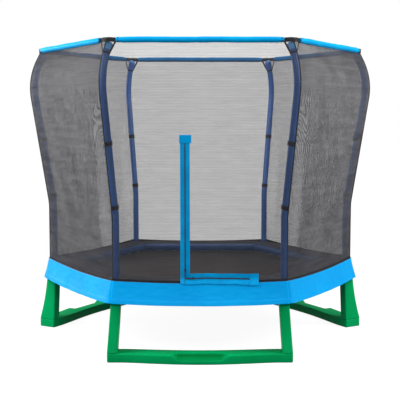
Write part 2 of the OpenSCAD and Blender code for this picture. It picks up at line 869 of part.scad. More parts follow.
// A slider over the teeth, with its pull lying on the tape behind it
module zip_slider() {
    lift = tape_lift + tape_t + seat_gap;
    translate([-slider_w / 2, -slider_len / 2, lift]) cube([slider_w, slider_len, slider_t]);
    translate([-slider_w / 4, -slider_len / 2 - pull_len, lift + slider_t / 3])
        cube([slider_w / 2, pull_len + slider_len / 4, slider_t / 3]);
}

module zip_slider_upright() {
    color("#c8ccd2") on_front_net() translate([zip_x, zip_base + slider_rest, 0]) zip_slider();
}

module zip_slider_level() {
    color("#c8ccd2") on_front_net() translate([zip_x + slider_rest, zip_base, 0])
        rotate([0, 0, -90]) zip_slider();
}

// ---- Mat and springs ----

// A spring hooks through the tube's wall and over a ring on the mat
module springs() {
    hook_out = tube_face + frame_tube_wall + hook_grip;
    hook_in = ring_out - ring_wire_d / 2;
    coil_len = tube_face - ring_out - 2 * hook_len;
    color("#c0c4c8") for (i = [0:5], s = spring_places) at_side(i) {
        translate([s, -ring_out - hook_len, spring_z]) rotate([90, 0, 0])
            cylinder(h = coil_len, d = spring_d);
        translate([s, -hook_in, spring_z]) rotate([90, 0, 0])
            cylinder(h = hook_out - hook_in, d = wire_d);
    }
}

module hexagon(inner_distance) {
    circle(r = inner_distance / cos(half_angle), $fn = 6);
}

module mat() {
    color("#3c3837") translate([0, 0, mat_base]) linear_extrude(mat_t) hexagon(mat_outer);
}

module mat_hem() {
    color("#1b1c20") translate([0, 0, mat_base - seat_gap - hem_t]) linear_extrude(hem_t)
        difference() {
            hexagon(mat_outer);
            hexagon(mat_outer - hem_w);
        }
}

// A three-sided wire ring: two legs on the mat and a bar that the spring hooks over
module mat_ring() {
    half = ring_w / 2;
    foot = mat_outer - ring_grip;
    for (side = [-1, 1]) rod([side * half, -foot, ring_z], [side * half, -ring_out, ring_z], ring_wire_d);
    rod([-half - ring_wire_d / 2, -ring_out, ring_z], [half + ring_wire_d / 2, -ring_out, ring_z], ring_wire_d);
}

module mat_rings() {
    color("#9aa0a6") for (i = [0:5], s = spring_places) at_side(i) translate([s, 0, 0]) mat_ring();
}

for (i = [0:2]) leg_bar(i);
for (k = [0:5]) leg_upright(k);
for (i = [0:5]) frame_tube(i);
for (k = [0:5]) foam_sleeve(k);
for (i = [0:5]) pad(i);
for (i = [0:5]) skirt(i);
for (i = [0:5]) net(i);
corner_sockets();
leg_screws();
pole_screws();
pole_tubes_lower();
pole_tubes_upper();
pole_caps();
top_band();
top_webbing();
pole_straps();
strap_buckles();
springs();
mat();
mat_hem();
mat_rings();
door_flap();
zip_tape_frame();
zip_tape_door();
zip_slider_upright();
zip_slider_level();
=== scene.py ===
import math

import bmesh
import bpy
from mathutils import Matrix, Vector, noise


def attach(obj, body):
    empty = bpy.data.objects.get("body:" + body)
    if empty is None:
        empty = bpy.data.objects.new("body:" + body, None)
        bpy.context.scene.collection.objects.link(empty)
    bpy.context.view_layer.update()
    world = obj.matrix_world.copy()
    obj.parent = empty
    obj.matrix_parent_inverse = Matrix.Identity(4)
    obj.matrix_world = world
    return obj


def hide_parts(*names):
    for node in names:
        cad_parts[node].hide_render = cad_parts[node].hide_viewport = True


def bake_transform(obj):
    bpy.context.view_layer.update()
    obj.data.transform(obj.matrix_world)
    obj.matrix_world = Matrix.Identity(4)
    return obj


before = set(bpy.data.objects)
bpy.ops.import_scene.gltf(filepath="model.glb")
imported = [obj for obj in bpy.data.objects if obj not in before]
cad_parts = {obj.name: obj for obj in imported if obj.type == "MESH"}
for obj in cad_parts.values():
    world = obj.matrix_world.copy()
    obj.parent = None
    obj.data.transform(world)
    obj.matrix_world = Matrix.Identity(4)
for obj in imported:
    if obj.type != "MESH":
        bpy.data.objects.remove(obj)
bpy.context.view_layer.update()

# ---- Legs ----
# Three U-shaped legs, blow-moulded in green polyethylene with rounded edges. Each has a
# bowed ground bar with a scoop in its middle, and two uprights that flare to the bar's ends.

LEG_IN = 0.8658  # from the trampoline's middle to a leg's inner face
LEG_OUT = 0.9958  # and to its outer face at the foot
LEG_EDGE = 0.007  # radius of its edges
BAR_HIGH = 0.056
BAR_END = 0.567  # from a leg's middle to the end of its bar
BAR_ROUND = 0.013  # radius of the bar's upright edges
BOW_END = 0.4792  # from a leg's middle to where the bar's bow starts
BOW_IN = 0.036  # how far the bar's inner face bows out
BOW_OUT = 0.052  # and its outer face
SCOOP_BACK = 0.9858  # from the trampoline's middle to the scoop's back wall
SCOOP_DROP = 0.028
SCOOP_HALF = 0.180
SCOOP_SLOPE = 0.057  # at each end of the scoop
SCOOP_FILLET = 0.006
UPRIGHT_TOP = 0.423
UPRIGHT_END = 0.5412  # to the end of an upright at its top
UPRIGHT_WIDE = 0.062
UPRIGHT_DEEP = 0.076  # at its top
UPRIGHT_FLARE = 0.054
UPRIGHT_ROUND = 0.010


def linear(red, green, blue):
    """A colour given in display values from 0 to 255, as the shader takes it."""
    shares = [c / 255 for c in (red, green, blue)]
    return tuple(s / 12.92 if s <= 0.04 else ((s + 0.055) / 1.055) ** 2.4 for s in shares) + (1.0,)


def grey(value):
    return (value, value, value, 1.0)


def feed(owner, node, inputs):
    """Gives a node's inputs their values, or the outputs of other nodes."""
    for socket, value in inputs.items():
        if isinstance(value, bpy.types.NodeSocket):
            owner.node_tree.links.new(value, node.inputs[socket])
        else:
            node.inputs[socket].default_value = value


def add_node(owner, kind, inputs=None, output=0, **settings):
    """Adds a shader node and gives back one of its outputs."""
    made = owner.node_tree.nodes.new("ShaderNode" + kind)
    for name, value in settings.items():
        setattr(made, name, value)
    feed(owner, made, inputs or {})
    return made.outputs[output]


def surface_of(material):
    return material.node_tree.nodes["Principled BSDF"]


def new_finish(name, colour=None, rough=None, metal=0.0, specular=0.5):
    """A material, whose colour or roughness is left out where patches feed it."""
    material = bpy.data.materials.new(name)
    material.use_nodes = True
    values = {"Base Color": colour, "Roughness": rough, "Metallic": metal}
    values["Specular IOR Level"] = specular
    feed(material, surface_of(material), {s: v for s, v in values.items() if v is not None})
    return material


def cloud(material, scale, stretch, detail, rough):
    """An uneven grey that is fixed to the piece."""
    coords = add_node(material, "TexCoord", output="Object")
    mapping = add_node(material, "Mapping", {"Vector": coords, "Scale": stretch})
    values = {"Vector": mapping, "Scale": scale, "Detail": detail, "Roughness": rough}
    return add_node(material, "TexNoise", values)


def patches(material, socket, scale, low, high, stretch=(1, 1, 1), detail=4.0, node=None):
    """Feeds an input of the surface, or of another node, with soft patches between two
    colours or greys."""
    ramp = add_node(material, "ValToRGB", {"Fac": cloud(material, scale, stretch, detail, 0.55)})
    ends = ramp.node.color_ramp.elements
    for end, position, colour in zip(ends, (0.32, 0.68), (low, high)):
        end.position = position
        end.color = colour
    feed(material, node or surface_of(material), {socket: ramp})


def raise_by(material, height, strength, depth):
    bump = {"Height": height, "Strength": strength, "Distance": depth}
    feed(material, surface_of(material), {"Normal": add_node(material, "Bump", bump)})


def relief(material, scale, strength, depth, stretch=(1, 1, 1)):
    """A fine uneven surface."""
    raise_by(material, cloud(material, scale, stretch, 3.0, 0.5), strength, depth)


def place_piece(bm, name, *materials, crease=35):
    """An object from a bmesh, smooth except where its faces meet steeply."""
    mesh = bpy.data.meshes.new(name)
    bm.to_mesh(mesh)
    bm.free()
    for material in materials:
        mesh.materials.append(material)
    mesh.polygons.foreach_set("use_smooth", [True] * len(mesh.polygons))
    mesh.set_sharp_from_angle(angle=math.radians(crease))
    piece = bpy.data.objects.new(name, mesh)
    bpy.context.scene.collection.objects.link(piece)
    return piece


def shaped_grid(across, along, place, lay=None, form="sheet"):
    """A grid whose points are put in place by their shares across and along. It stays a
    sheet, or closes into a ring, or into a tube with its ends filled. lay gives its map."""
    bm = bmesh.new()
    bmesh.ops.create_grid(bm, x_segments=across, y_segments=along, size=0.5)
    xs, ys = zip(*((v.co.x, v.co.y) for v in bm.verts))
    left, low = min(xs), min(ys)
    wide, high = max(xs) - left, max(ys) - low
    shares = {v: ((v.co.x - left) / wide, (v.co.y - low) / high) for v in bm.verts}
    if lay:
        layer = bm.loops.layers.uv.new("UVMap")
        for face in bm.faces:
            for loop in face.loops:
                loop[layer].uv = lay(*shares[loop.vert])
    for vert in bm.verts:
        vert.co = place(*shares[vert])
    if form != "sheet":
        bmesh.ops.remove_doubles(bm, verts=bm.verts, dist=1e-6)
        if form == "tube":
            rims = [e for e in bm.edges if e.is_boundary]
            bmesh.ops.holes_fill(bm, edges=rims, sides=0)
        bmesh.ops.recalc_face_normals(bm, faces=bm.faces)
    return bm


def side_turn(side):
    """The turn from the front to another side."""
    return Matrix.Rotation(math.radians(60 * side), 4, "Z")


def turn_to_side(bm, side):
    bmesh.ops.rotate(bm, verts=bm.verts, cent=(0, 0, 0), matrix=side_turn(side))


# Painted shade in the scoop: a darker green is mixed in by the scoop's depth. The bar's map holds
# that depth, as a share.
leg_plastic = new_finish("leg_plastic", specular=0.04)
leg_map = add_node(leg_plastic, "TexCoord", output="UV")
depth_share = add_node(leg_plastic, "SeparateXYZ", {"Vector": leg_map})
scoop_shade = add_node(leg_plastic, "Math", {0: depth_share, 1: 0.55}, operation="MULTIPLY")
# painted shade: the darker green of the scoop
shaded_green = add_node(leg_plastic, "MixRGB", {"Fac": scoop_shade, "Color2": linear(0, 100, 34)})
feed(leg_plastic, surface_of(leg_plastic), {"Base Color": shaded_green})
patches(leg_plastic, "Color1", 3.5, linear(0, 158, 88), linear(0, 173, 100), node=shaded_green.node)
patches(leg_plastic, "Roughness", 9.0, grey(0.4), grey(0.54))
relief(leg_plastic, 420, 0.25, 0.0006)


def clamp(share):
    return max(0.0, min(1.0, share))


def smooth(share):
    """A share from 0 to 1 that starts and ends gently."""
    share = clamp(share)
    return share * share * (3 - 2 * share)


def bow(x, rise):
    return rise * max(0.0, 1 - (x / BOW_END) ** 2) ** 1.5


def rounding(to_end, radius):
    """How far a rounded edge draws in, at a distance from the end."""
    if to_end >= radius:
        return 0.0
    return radius - math.sqrt(radius ** 2 - (radius - to_end) ** 2)


def quarter(out, up, radius, first):
    """Five points on a quarter turn round a rounded edge's axis."""
    turns = [math.radians(90 * (first + n / 4)) for n in range(5)]
    return [(out + radius * math.cos(t), up + radius * math.sin(t)) for t in turns]


def scoop_drop(x):
    return SCOOP_DROP * smooth((SCOOP_HALF - abs(x)) / SCOOP_SLOPE)


def bar_section(x):
    """Distances out and heights round the ground bar."""
    to_end = BAR_END - abs(x)
    inner = LEG_IN + bow(x, BOW_IN) + rounding(to_end, BAR_ROUND)
    outer = LEG_OUT + bow(x, BOW_OUT) - rounding(to_end, BAR_ROUND)
    low = rounding(to_end, LEG_EDGE)
    high = BAR_HIGH - low
    edge = max(0.0012, LEG_EDGE - low)
    drop = scoop_drop(x)
    floor = high - drop
    back = min(SCOOP_BACK, outer - edge - 0.008)
    fillet = min(SCOOP_FILLET, drop / 2)
    steps = [(SCOOP_FILLET, 0.0), (0.3 * SCOOP_FILLET, 0.3 * fillet), (0.0003, fillet)]
    return (
        quarter(inner + edge, low + edge, edge, 2) + quarter(outer - edge, low + edge, edge, 3)
        + quarter(outer - edge, floor - edge, edge, 0)
        + [(back + out, floor + up) for out, up in steps]
        + [(back - out, high - up) for out, up in reversed(steps)]
        + quarter(inner + edge, high - edge, edge, 1)
    )


def upright_section(z):
    """Places along and distances out round an upright."""
    drop = (UPRIGHT_TOP - z) / (UPRIGHT_TOP - BAR_HIGH)
    drawn_in = rounding(z - BAR_HIGH - 0.0003, 0.0025) + rounding(UPRIGHT_TOP - z, LEG_EDGE)
    right = UPRIGHT_END + (BAR_END - UPRIGHT_END) * drop - drawn_in
    left = right - UPRIGHT_WIDE + 2 * drawn_in
    inner = LEG_IN + drawn_in
    outer = LEG_IN + UPRIGHT_DEEP + UPRIGHT_FLARE * drop ** 2 - drawn_in
    edge = UPRIGHT_ROUND
    return (
        quarter(left + edge, inner + edge, edge, 2) + quarter(right - edge, inner + edge, edge, 3)
        + quarter(right - edge, outer - edge, edge, 0) + quarter(left + edge, outer - edge, edge, 1)
    )


EASED_ENDS = [0.0, 0.0004, 0.0015, 0.0033, 0.006, 0.0092, 0.013]
BAR_STATIONS = [e - BAR_END for e in EASED_ENDS] + [n * 0.0074 for n in range(-74, 75)]
BAR_STATIONS += [BAR_END - e for e in reversed(EASED_ENDS)]
BAR_SECTIONS = [bar_section(x) for x in BAR_STATIONS]
SCOOP_POINTS = range(12, 20)  # of a section, those on the scoop's floor and back
UPRIGHT_LEVELS = [BAR_HIGH + e for e in (0.0003, 0.0006, 0.0014, 0.0028)]
UPRIGHT_LEVELS += [0.068 + n * 0.0085 for n in range(41)]
UPRIGHT_LEVELS += [UPRIGHT_TOP - e for e in (0.0065, 0.0045, 0.0025, 0.001, 0.0002, 0.0)]
UPRIGHT_SECTIONS = [upright_section(z) for z in UPRIGHT_LEVELS]


# The map for the scoop's painted shade: the scoop's depth on its floor and back, and none
# elsewhere.
def scoop_shade_lay(u, v):
    x = BAR_STATIONS[round(v * (len(BAR_STATIONS) - 1))]
    point = round(len(BAR_SECTIONS[0]) * u)
    return (scoop_drop(x) / SCOOP_DROP if point in SCOOP_POINTS else 0.0, v)


def leg_tube(sections, lay_out, lay=None):
    """A closed tube through sections of as many points each."""
    count = len(sections[0])

    def place(u, v):
        row = round(v * (len(sections) - 1))
        return lay_out(row, *sections[row][round(u * count) % count])

    return shaped_grid(count, len(sections) - 1, place, lay, "tube")


for name, side, corners in (
    ("front", 0, ("front_left", "front_right")),
    ("right", 2, ("right", "rear_right")),
    ("left", 4, ("rear_left", "left")),
):
    bar = leg_tube(BAR_SECTIONS, lambda row, out, up: (BAR_STATIONS[row], -out, up), scoop_shade_lay)
    pieces = {"leg_bar_" + name: bar}
    for hand, corner in zip((-1, 1), corners):
        pieces["leg_upright_" + corner] = leg_tube(
            UPRIGHT_SECTIONS, lambda row, along, out: (hand * along, -out, UPRIGHT_LEVELS[row])
        )
    for node, bm in pieces.items():
        turn_to_side(bm, side)
        piece = place_piece(bm, node + "_moulding", leg_plastic, crease=50)
        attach(piece, "frame")
        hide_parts(node)

# ---- Frame tubes, corner sockets and screws ----
# Six steel tubes slide into welded corner sockets, all powder-coated navy. Zinc-plated
# screws hold the legs on the sockets' stubs and the poles in the sockets' cups.

frame_paint = new_finish("frame_paint", rough=0.38)
patches(frame_paint, "Base Color", 5.0, linear(32, 52, 96), linear(44, 68, 118))
relief(frame_paint, 900, 0.2, 0.0004)

zinc = new_finish("zinc_steel", linear(190, 192, 196), metal=1.0)
patches(zinc, "Roughness", 60.0, grey(0.24), grey(0.42))

tube_zinc = new_finish("galvanised_tube", rough=0.4, metal=1.0)
patches(tube_zinc, "Base Color", 30.0, linear(150, 154, 160), linear(182, 186, 190), (1, 1, 0.2))
relief(tube_zinc, 500, 0.1, 0.0003)

CORNERS = ["front_right", "right", "rear_right", "rear_left", "left", "front_left"]
SIDES = ["front", "right_front", "right_rear", "rear", "left_rear", "left_front"]


def refinish(nodes, material):
    for node in nodes:
        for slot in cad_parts[node].material_slots:
            slot.material = material


refinish(["corner_sockets"] + ["frame_tube_" + n for n in SIDES], frame_paint)
refinish(["leg_screws", "pole_screws"], zinc)
refinish(["pole_tubes_lower", "pole_tubes_upper"], tube_zinc)

# ---- Springs ----
# Coil springs of galvanised wire, six on each side. Their hooks sit in holes in the frame tube and
# over wire rings on the mat. On the trampoline they stretch and tilt as the mat goes down; here
# they are built at rest and do not follow it.

HALF = math.radians(30)  # from a side's middle to its corners
POLE_OUT = 1.03  # from the trampoline's middle to each pole's foot
SIDE_OUT = POLE_OUT * math.cos(HALF)
TUBE_FACE = SIDE_OUT - 0.019
RING_OUT = TUBE_FACE - 0.113
SPRING_Z = 0.445
SPRING_PLACES = [(n - 2.5) * 0.125 for n in range(6)]
COIL_START = -RING_OUT - 0.0205
COIL_LONG = TUBE_FACE - RING_OUT - 0.041
COIL_RADIUS = 0.0049
COIL_TURNS = 20
COIL_STEPS = COIL_TURNS * 8
WIRE_RADIUS = 0.0016

spring_wire = new_finish("spring_wire", linear(176, 180, 184), metal=1.0)
patches(spring_wire, "Roughness", 90.0, grey(0.22), grey(0.42))


def add_rod(bm, start, end):
    """A capped piece of round wire between two points."""
    way = end - start
    pose = Matrix.Translation((start + end) / 2) @ way.to_track_quat("Z", "Y").to_matrix().to_4x4()
    bmesh.ops.create_cone(
        bm, cap_ends=True, segments=8, radius1=WIRE_RADIUS, radius2=WIRE_RADIUS, depth=way.length,
        matrix=pose,
    )


def add_spring(bm, x):
    """A coil with its two hooks, as a path of distances out and heights."""
    top = SPRING_Z + COIL_RADIUS
    disc = bmesh.ops.create_circle(bm, cap_ends=True, segments=6, radius=WIRE_RADIUS)["verts"]
    turn = Matrix.Rotation(math.radians(90), 3, "Y")
    bmesh.ops.rotate(bm, verts=disc, cent=(0, 0, 0), matrix=turn)
    bmesh.ops.translate(bm, verts=disc, vec=(x, COIL_START, top))
    faces = list({f for v in disc for f in v.link_faces})
    bmesh.ops.spin(
        bm, geom=disc + faces + list({e for v in disc for e in v.link_edges}),
        cent=(x, 0, SPRING_Z), axis=(0, 1, 0), dvec=(0, -COIL_LONG / COIL_STEPS, 0),
        angle=2 * math.pi * COIL_TURNS, steps=COIL_STEPS,
    )
    near, far = COIL_START, COIL_START - COIL_LONG
    for hook in (
        [(near, top), (near + 0.006, SPRING_Z), (-RING_OUT + 0.005, SPRING_Z),
         (-RING_OUT + 0.0045, SPRING_Z - 0.007)],
        [(far, top), (far - 0.006, SPRING_Z), (-TUBE_FACE - 0.005, SPRING_Z)],
    ):
        spots = [Vector((x, *spot)) for spot in hook]
        for start, end in zip(spots, spots[1:]):
            add_rod(bm, start, end)


for side, name in enumerate(SIDES):
    bm = bmesh.new()
    for x in SPRING_PLACES:
        add_spring(bm, x)
    turn_to_side(bm, side)
    piece = place_piece(bm, "springs_" + name, spring_wire)
    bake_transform(piece)
    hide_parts("springs")

# ---- Jump mat ----
# A hexagon of charcoal woven polypropylene, folded over at its edge and sewn down with
# rows of pale thread. Webbing under the edge carries the wire rings for the springs.

MAT_OUT = TUBE_FACE - 0.128
MAT_TOP = 0.4388
MAT_THICK = 0.0026
MAT_HEM = 0.042
MAT_FOLD = 0.0011  # the folded edge stands this much above the mat
STITCH = 0.009
STITCH_PITCH = 0.013
STITCH_ROWS = (0.006, 0.034, 0.038)  # in from the mat's edge
WAVE_LONG = 0.31416  # from band to band in a wave pattern of scale 1


def woven(material, pitch, strength, depth, space="Object"):
    """A plain weave: two sets of threads at right angles, with slightly uneven height."""
    values = {"Scale": WAVE_LONG / pitch, "Distortion": 0.4, "Detail": 1.0}
    values["Vector"] = add_node(material, "TexCoord", output=space)
    warp, weft = (
        add_node(material, "TexWave", values, "Fac", wave_type="BANDS", bands_direction=way)
        for way in "XY"
    )
    height = add_node(material, "Math", {0: warp, 1: weft}, operation="MULTIPLY")
    raise_by(material, height, strength, depth)


mat_cloth = new_finish("mat_cloth", rough=0.62, specular=0.35)
patches(mat_cloth, "Base Color", 4.0, linear(46, 42, 41), linear(60, 55, 52), detail=6.0)
woven(mat_cloth, 0.003, 0.35, 0.0006)

thread = new_finish("pale_thread", linear(126, 124, 122), 0.7)
relief(thread, 2000, 0.3, 0.0003)

webbing = new_finish("black_webbing", rough=0.7, specular=0.3)
patches(webbing, "Base Color", 25.0, linear(24, 24, 27), linear(40, 40, 44))
woven(webbing, 0.0018, 0.4, 0.0005)


def thicken(piece, thickness, offset):
    solid = piece.modifiers.new("thickness", "SOLIDIFY")
    solid.thickness = thickness
    solid.offset = offset


bm = bmesh.new()
pose = Matrix.Translation((0, 0, MAT_TOP - 0.0015)) @ Matrix.Rotation(HALF, 4, "Z")
bmesh.ops.create_circle(
    bm, cap_ends=True, segments=6, radius=MAT_OUT / math.cos(HALF), matrix=pose
)
bmesh.ops.inset_region(bm, faces=bm.faces[:], thickness=MAT_HEM)
middle = max(bm.faces, key=lambda f: f.calc_area())
bmesh.ops.inset_region(bm, faces=[middle], thickness=0.001)
for vert in middle.verts:
    vert.co.z -= MAT_FOLD
bmesh.ops.subdivide_edges(bm, edges=bm.edges[:], cuts=5, use_grid_fill=True)
mat = place_piece(bm, "jump_mat", mat_cloth, crease=60)
thicken(mat, MAT_THICK, -1.0)
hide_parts("mat")

bm = bmesh.new()
for side in range(6):
    for row in STITCH_ROWS:
        level = MAT_OUT - row
        count = int(2 * level * math.tan(HALF) / STITCH_PITCH)
        for n in range(count):
            x = (n - (count - 1) / 2) * STITCH_PITCH
            pose = side_turn(side) @ Matrix.Translation((x, -level, MAT_TOP + 0.0003))
            pose = pose @ Matrix.Diagonal((STITCH, 0.0012, 0.0007, 1))
            bmesh.ops.create_cube(bm, size=1, matrix=pose)
stitches = place_piece(bm, "mat_stitches", thread)
for piece in (mat, stitches):
    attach(piece, "mat")
refinish(["mat_hem"], webbing)
refinish(["mat_rings"], zinc)

# ---- Safety pad ----
# Six foam slabs in coated cloth lie on the frame over the springs. Their tops are black and
# their inner edges are navy. They are crowned, wrinkled across, and cut out round the poles.

PAD_OUT = SIDE_OUT + 0.036
PAD_IN = PAD_OUT - 0.196
PAD_BASE = 0.4673
PAD_RIM = 0.013  # how far the navy cloth reaches over the inner edge
POLE_HOLE = 0.0229
EDGE_SAG = 0.017  # of the outer edge between two corners
# Distance from the pad's outer edge and height above the frame, round the section
PAD_SECTION = [
    (0.004, 0.000), (0.000, 0.004), (-0.0003, 0.012), (0.001, 0.020), (0.006, 0.0245),
    (0.016, 0.0262), (0.034, 0.0272), (0.052, 0.0285), (0.072, 0.0295), (0.094, 0.030),
    (0.116, 0.0297), (0.136, 0.0288), (0.154, 0.0275), (0.170, 0.0258), (0.182, 0.0232),
    (0.191, 0.0185), (0.1955, 0.0115), (0.1962, 0.002), (0.196, -0.010), (0.1945, -0.0225),
    (0.190, -0.0255), (0.186, -0.0225), (0.185, -0.010), (0.184, -0.0005), (0.172, 0.0002),
    (0.140, 0.0002), (0.100, 0.0002), (0.060, 0.0002), (0.025, 0.0002),
]

pad_top = new_finish("pad_top", rough=0.45)
patches(pad_top, "Base Color", 7.0, linear(34, 33, 37), linear(58, 58, 66), detail=6.0)
relief(pad_top, 60, 0.35, 0.004)
pad_rim = new_finish("pad_rim", rough=0.42)
patches(pad_rim, "Base Color", 9.0, linear(26, 56, 98), linear(44, 80, 130), detail=5.0)
relief(pad_rim, 45, 0.3, 0.004)


def wave(x, y, z, size):
    """Smooth unevenness between -1 and 1, with features of about that size."""
    return noise.noise(Vector((x / size, y / size, z / size)))


def pad_place(seed):
    def place(u, v):
        out, up = PAD_SECTION[round(u * len(PAD_SECTION)) % len(PAD_SECTION)]
        span = 2 * v - 1
        span = 0.75 * span + 0.25 * math.sin(span * math.pi / 2)
        y = PAD_OUT - out
        x = span * (y * math.tan(HALF) - 0.0006)
        top = clamp((up - 0.008) / 0.016)
        rim = clamp((out - 0.17) / 0.02)
        folds = 0.0016 * wave(x, 0.3 * y, seed, 0.045) + 0.0011 * wave(x, y, seed + 7, 0.02)
        near_end = max(0.0, (abs(span) - 0.86) / 0.14)
        pull = -0.0035 * near_end ** 2 + 0.0014 * near_end * math.sin(60 * y)
        z = PAD_BASE + up + top * (folds + pull)
        z -= EDGE_SAG * (1 - span * span) * top * max(0.0, 1 - out / 0.05) ** 2
        y += rim * 0.0014 * wave(x, up, seed + 3, 0.05)
        pole = Vector((math.copysign(POLE_OUT * math.sin(HALF), x), SIDE_OUT))
        away = Vector((x, y)) - pole
        if away.length < POLE_HOLE:
            away.x = -math.copysign(max(abs(away.x), 1e-5), x)
            x, y = pole + away.normalized() * POLE_HOLE
        return (x, -y, z)
    return place


for side, name in enumerate(SIDES):
    bm = shaped_grid(len(PAD_SECTION), 96, pad_place(11.3 * side), form="tube")
    for face in bm.faces:
        face.material_index = 1 if -face.calc_center_median().y < PAD_IN + PAD_RIM else 0
    turn_to_side(bm, side)
    piece = place_piece(bm, "pad_cover_" + name, pad_top, pad_rim, crease=50)
    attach(piece, "frame")
    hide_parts("pad_" + name)

# ---- Skirt ----
# Six panels of light-blue coated cloth hang from the pad's outer edge and flare outwards.
# Their corners are sewn round, their lower edges hemmed, and their upper edge has dark piping.

SKIRT_TOP = 0.4953
SKIRT_LOW = 0.3594
SKIRT_TOP_OUT = PAD_OUT + 0.0014
SKIRT_LOW_OUT = PAD_OUT + 0.0383
SKIRT_SHEET = 0.0018
SKIRT_HALF = 0.537  # from the middle of its upper edge to a corner
HEM_SHARE = 0.11  # half the hem's height, as a share of the skirt's
PIPING_RADIUS = 0.0026
PRESSED, CRUMPLED = 0.0005, 0.0045  # depth of a panel's slanting folds

skirt_cloth = new_finish("skirt_cloth", rough=0.4, specular=0.06)
patches(skirt_cloth, "Base Color", 3.0, linear(0, 160, 236), linear(0, 175, 248), detail=5.0)
woven(skirt_cloth, 0.0016, 0.12, 0.0004, "UV")

dark_piping = new_finish("dark_piping", linear(24, 34, 62), 0.5)
relief(dark_piping, 500, 0.3, 0.0004)


def metres(wide, high):
    """A map of the size that the cloth has, so that its weave is even."""
    return lambda u, v: (wide * u, high * v)


def rounded_side(span, out, radius):
    """A point along one side of a hexagon with rounded corners, from -1 to 1, as its place
    along the side and its distance from the middle."""
    straight = (out - radius) * math.tan(HALF)
    arc = radius * HALF
    way = abs(span) * (straight + arc)
    if way <= straight:
        return math.copysign(way, span), out
    turn = (way - straight) / radius
    x = straight + radius * math.sin(turn)
    return math.copysign(x, span), out - radius + radius * math.cos(turn)


def skirt_place(seed, crumple):
    def place(u, v):
        span = 2 * u - 1
        drop = 1 - v
        out = SKIRT_TOP_OUT + (SKIRT_LOW_OUT - SKIRT_TOP_OUT) * (0.8 * drop + 0.2 * drop ** 2)
        x, y = rounded_side(span, out, 0.012 + 0.05 * drop)
        ripple = 0.0026 * drop * wave(x, 0, seed, 0.16) + 0.0012 * wave(x, v * 0.4, seed + 5, 0.05)
        rise = (SKIRT_TOP - SKIRT_LOW) * v
        folds = wave(0.8 * x + 0.6 * rise, 0.3 * (0.8 * rise - 0.6 * x), seed + 11, 0.05)
        ripple += crumple * min(1.0, 3 * drop) * folds
        pucker = max(0.0, (abs(span) - 0.9) / 0.1)
        ripple += 0.0012 * pucker * math.sin(45 * v + seed)
        ripple *= min(1.0, 8 * drop + 0.15) * (1 - 0.5 * pucker)
        z = SKIRT_LOW + rise + 0.0015 * drop * wave(x, 2, seed, 0.2)
        z -= EDGE_SAG * (1 - span * span)
        return (x, -y - ripple * (1 - pucker), z)
    return place


for side, name in enumerate(SIDES):
    hang = skirt_place(5.7 * side, CRUMPLED if name == "left_front" else PRESSED)

    def hem_place(u, v):
        turn = v * math.tau
        x, y, z = hang(u, HEM_SHARE + HEM_SHARE * math.sin(turn))
        return (x, y - (0.0013 + 0.0009 * math.cos(turn)), z)

    def piping_place(u, v):
        turn = v * math.tau
        x, y, z = hang(u, 1.0)
        return (x, y + PIPING_RADIUS * math.cos(turn), z - 0.0012 + PIPING_RADIUS * math.sin(turn))

    pieces = []
    for part, material, bm in (
        ("panel", skirt_cloth, shaped_grid(84, 16, hang, metres(1.1, 0.14))),
        ("hem", skirt_cloth, shaped_grid(84, 12, hem_place, metres(1.1, 0.03), "tube")),
        ("piping", dark_piping, shaped_grid(84, 8, piping_place, form="tube")),
    ):
        turn_to_side(bm, side)
        pieces.append(place_piece(bm, f"skirt_{part}_{name}", material, crease=60))
        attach(pieces[-1], "frame")
    panel = pieces.pop(0)
    thicken(panel, SKIRT_SHEET, 0.0)
    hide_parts("skirt_" + name)

# ---- Poles ----
# Each steel pole stands in a corner socket, leans outwards and bends back in at the top. A
# foam tube in a navy sleeve covers it, gathered in where it meets the pad.

LEAN = math.radians(9)
LEAN_START = 0.85
LEAN_BEND = 0.4  # radius of the bend into the lean
LEAN_LONG = 0.71
LEAN_Z0 = LEAN_START + LEAN_BEND * math.sin(LEAN)
LEAN_R0 = POLE_OUT + LEAN_BEND * (1 - math.cos(LEAN))
LEAN_Z1 = LEAN_Z0 + LEAN_LONG * math.cos(LEAN)
LEAN_R1 = LEAN_R0 + LEAN_LONG * math.sin(LEAN)
CROOK_BEND = 0.44  # radius of the bend back in
CROOK_END = math.radians(-27)
CROOK_Z = LEAN_Z1 + CROOK_BEND * (math.sin(LEAN) - math.sin(CROOK_END))
CROOK_R = LEAN_R1 + CROOK_BEND * (math.cos(CROOK_END) - math.cos(LEAN))
POLE_END_Z = CROOK_Z + 0.03 * math.cos(CROOK_END)
POLE_END_R = CROOK_R + 0.03 * math.sin(CROOK_END)
FOAM = 0.021
FOAM_LOW = 0.476
FOAM_HIGH = POLE_END_Z - 0.004
GATHER_TOP = 0.515
STRAP_HEIGHTS = (0.94, 1.33)


def pole_at(z):
    """A pole's distance from the middle and its tilt outwards, at a height."""
    if z < LEAN_START:
        return POLE_OUT, 0.0
    if z < LEAN_Z0:
        tilt = math.asin((z - LEAN_START) / LEAN_BEND)
        return POLE_OUT + LEAN_BEND * (1 - math.cos(tilt)), tilt
    if z < LEAN_Z1:
        return LEAN_R0 + (z - LEAN_Z0) * math.tan(LEAN), LEAN
    if z < CROOK_Z:
        tilt = math.asin(math.sin(LEAN) - (z - LEAN_Z1) / CROOK_BEND)
        return LEAN_R1 + CROOK_BEND * (math.cos(tilt) - math.cos(LEAN)), tilt
    return CROOK_R + (z - CROOK_Z) * math.tan(CROOK_END), CROOK_END


def turn_to_corner(bm, corner):
    """Turns a piece that was made with +X outwards to one of the corners."""
    turn_to_side(bm, corner - 1)


foam_sleeve = new_finish("foam_sleeve", rough=0.38, specular=0.4)
patches(foam_sleeve, "Base Color", 6.0, linear(47, 90, 156), linear(63, 112, 186), (1, 1, 0.4))
relief(foam_sleeve, 55, 0.3, 0.003, (1, 1, 2.2))


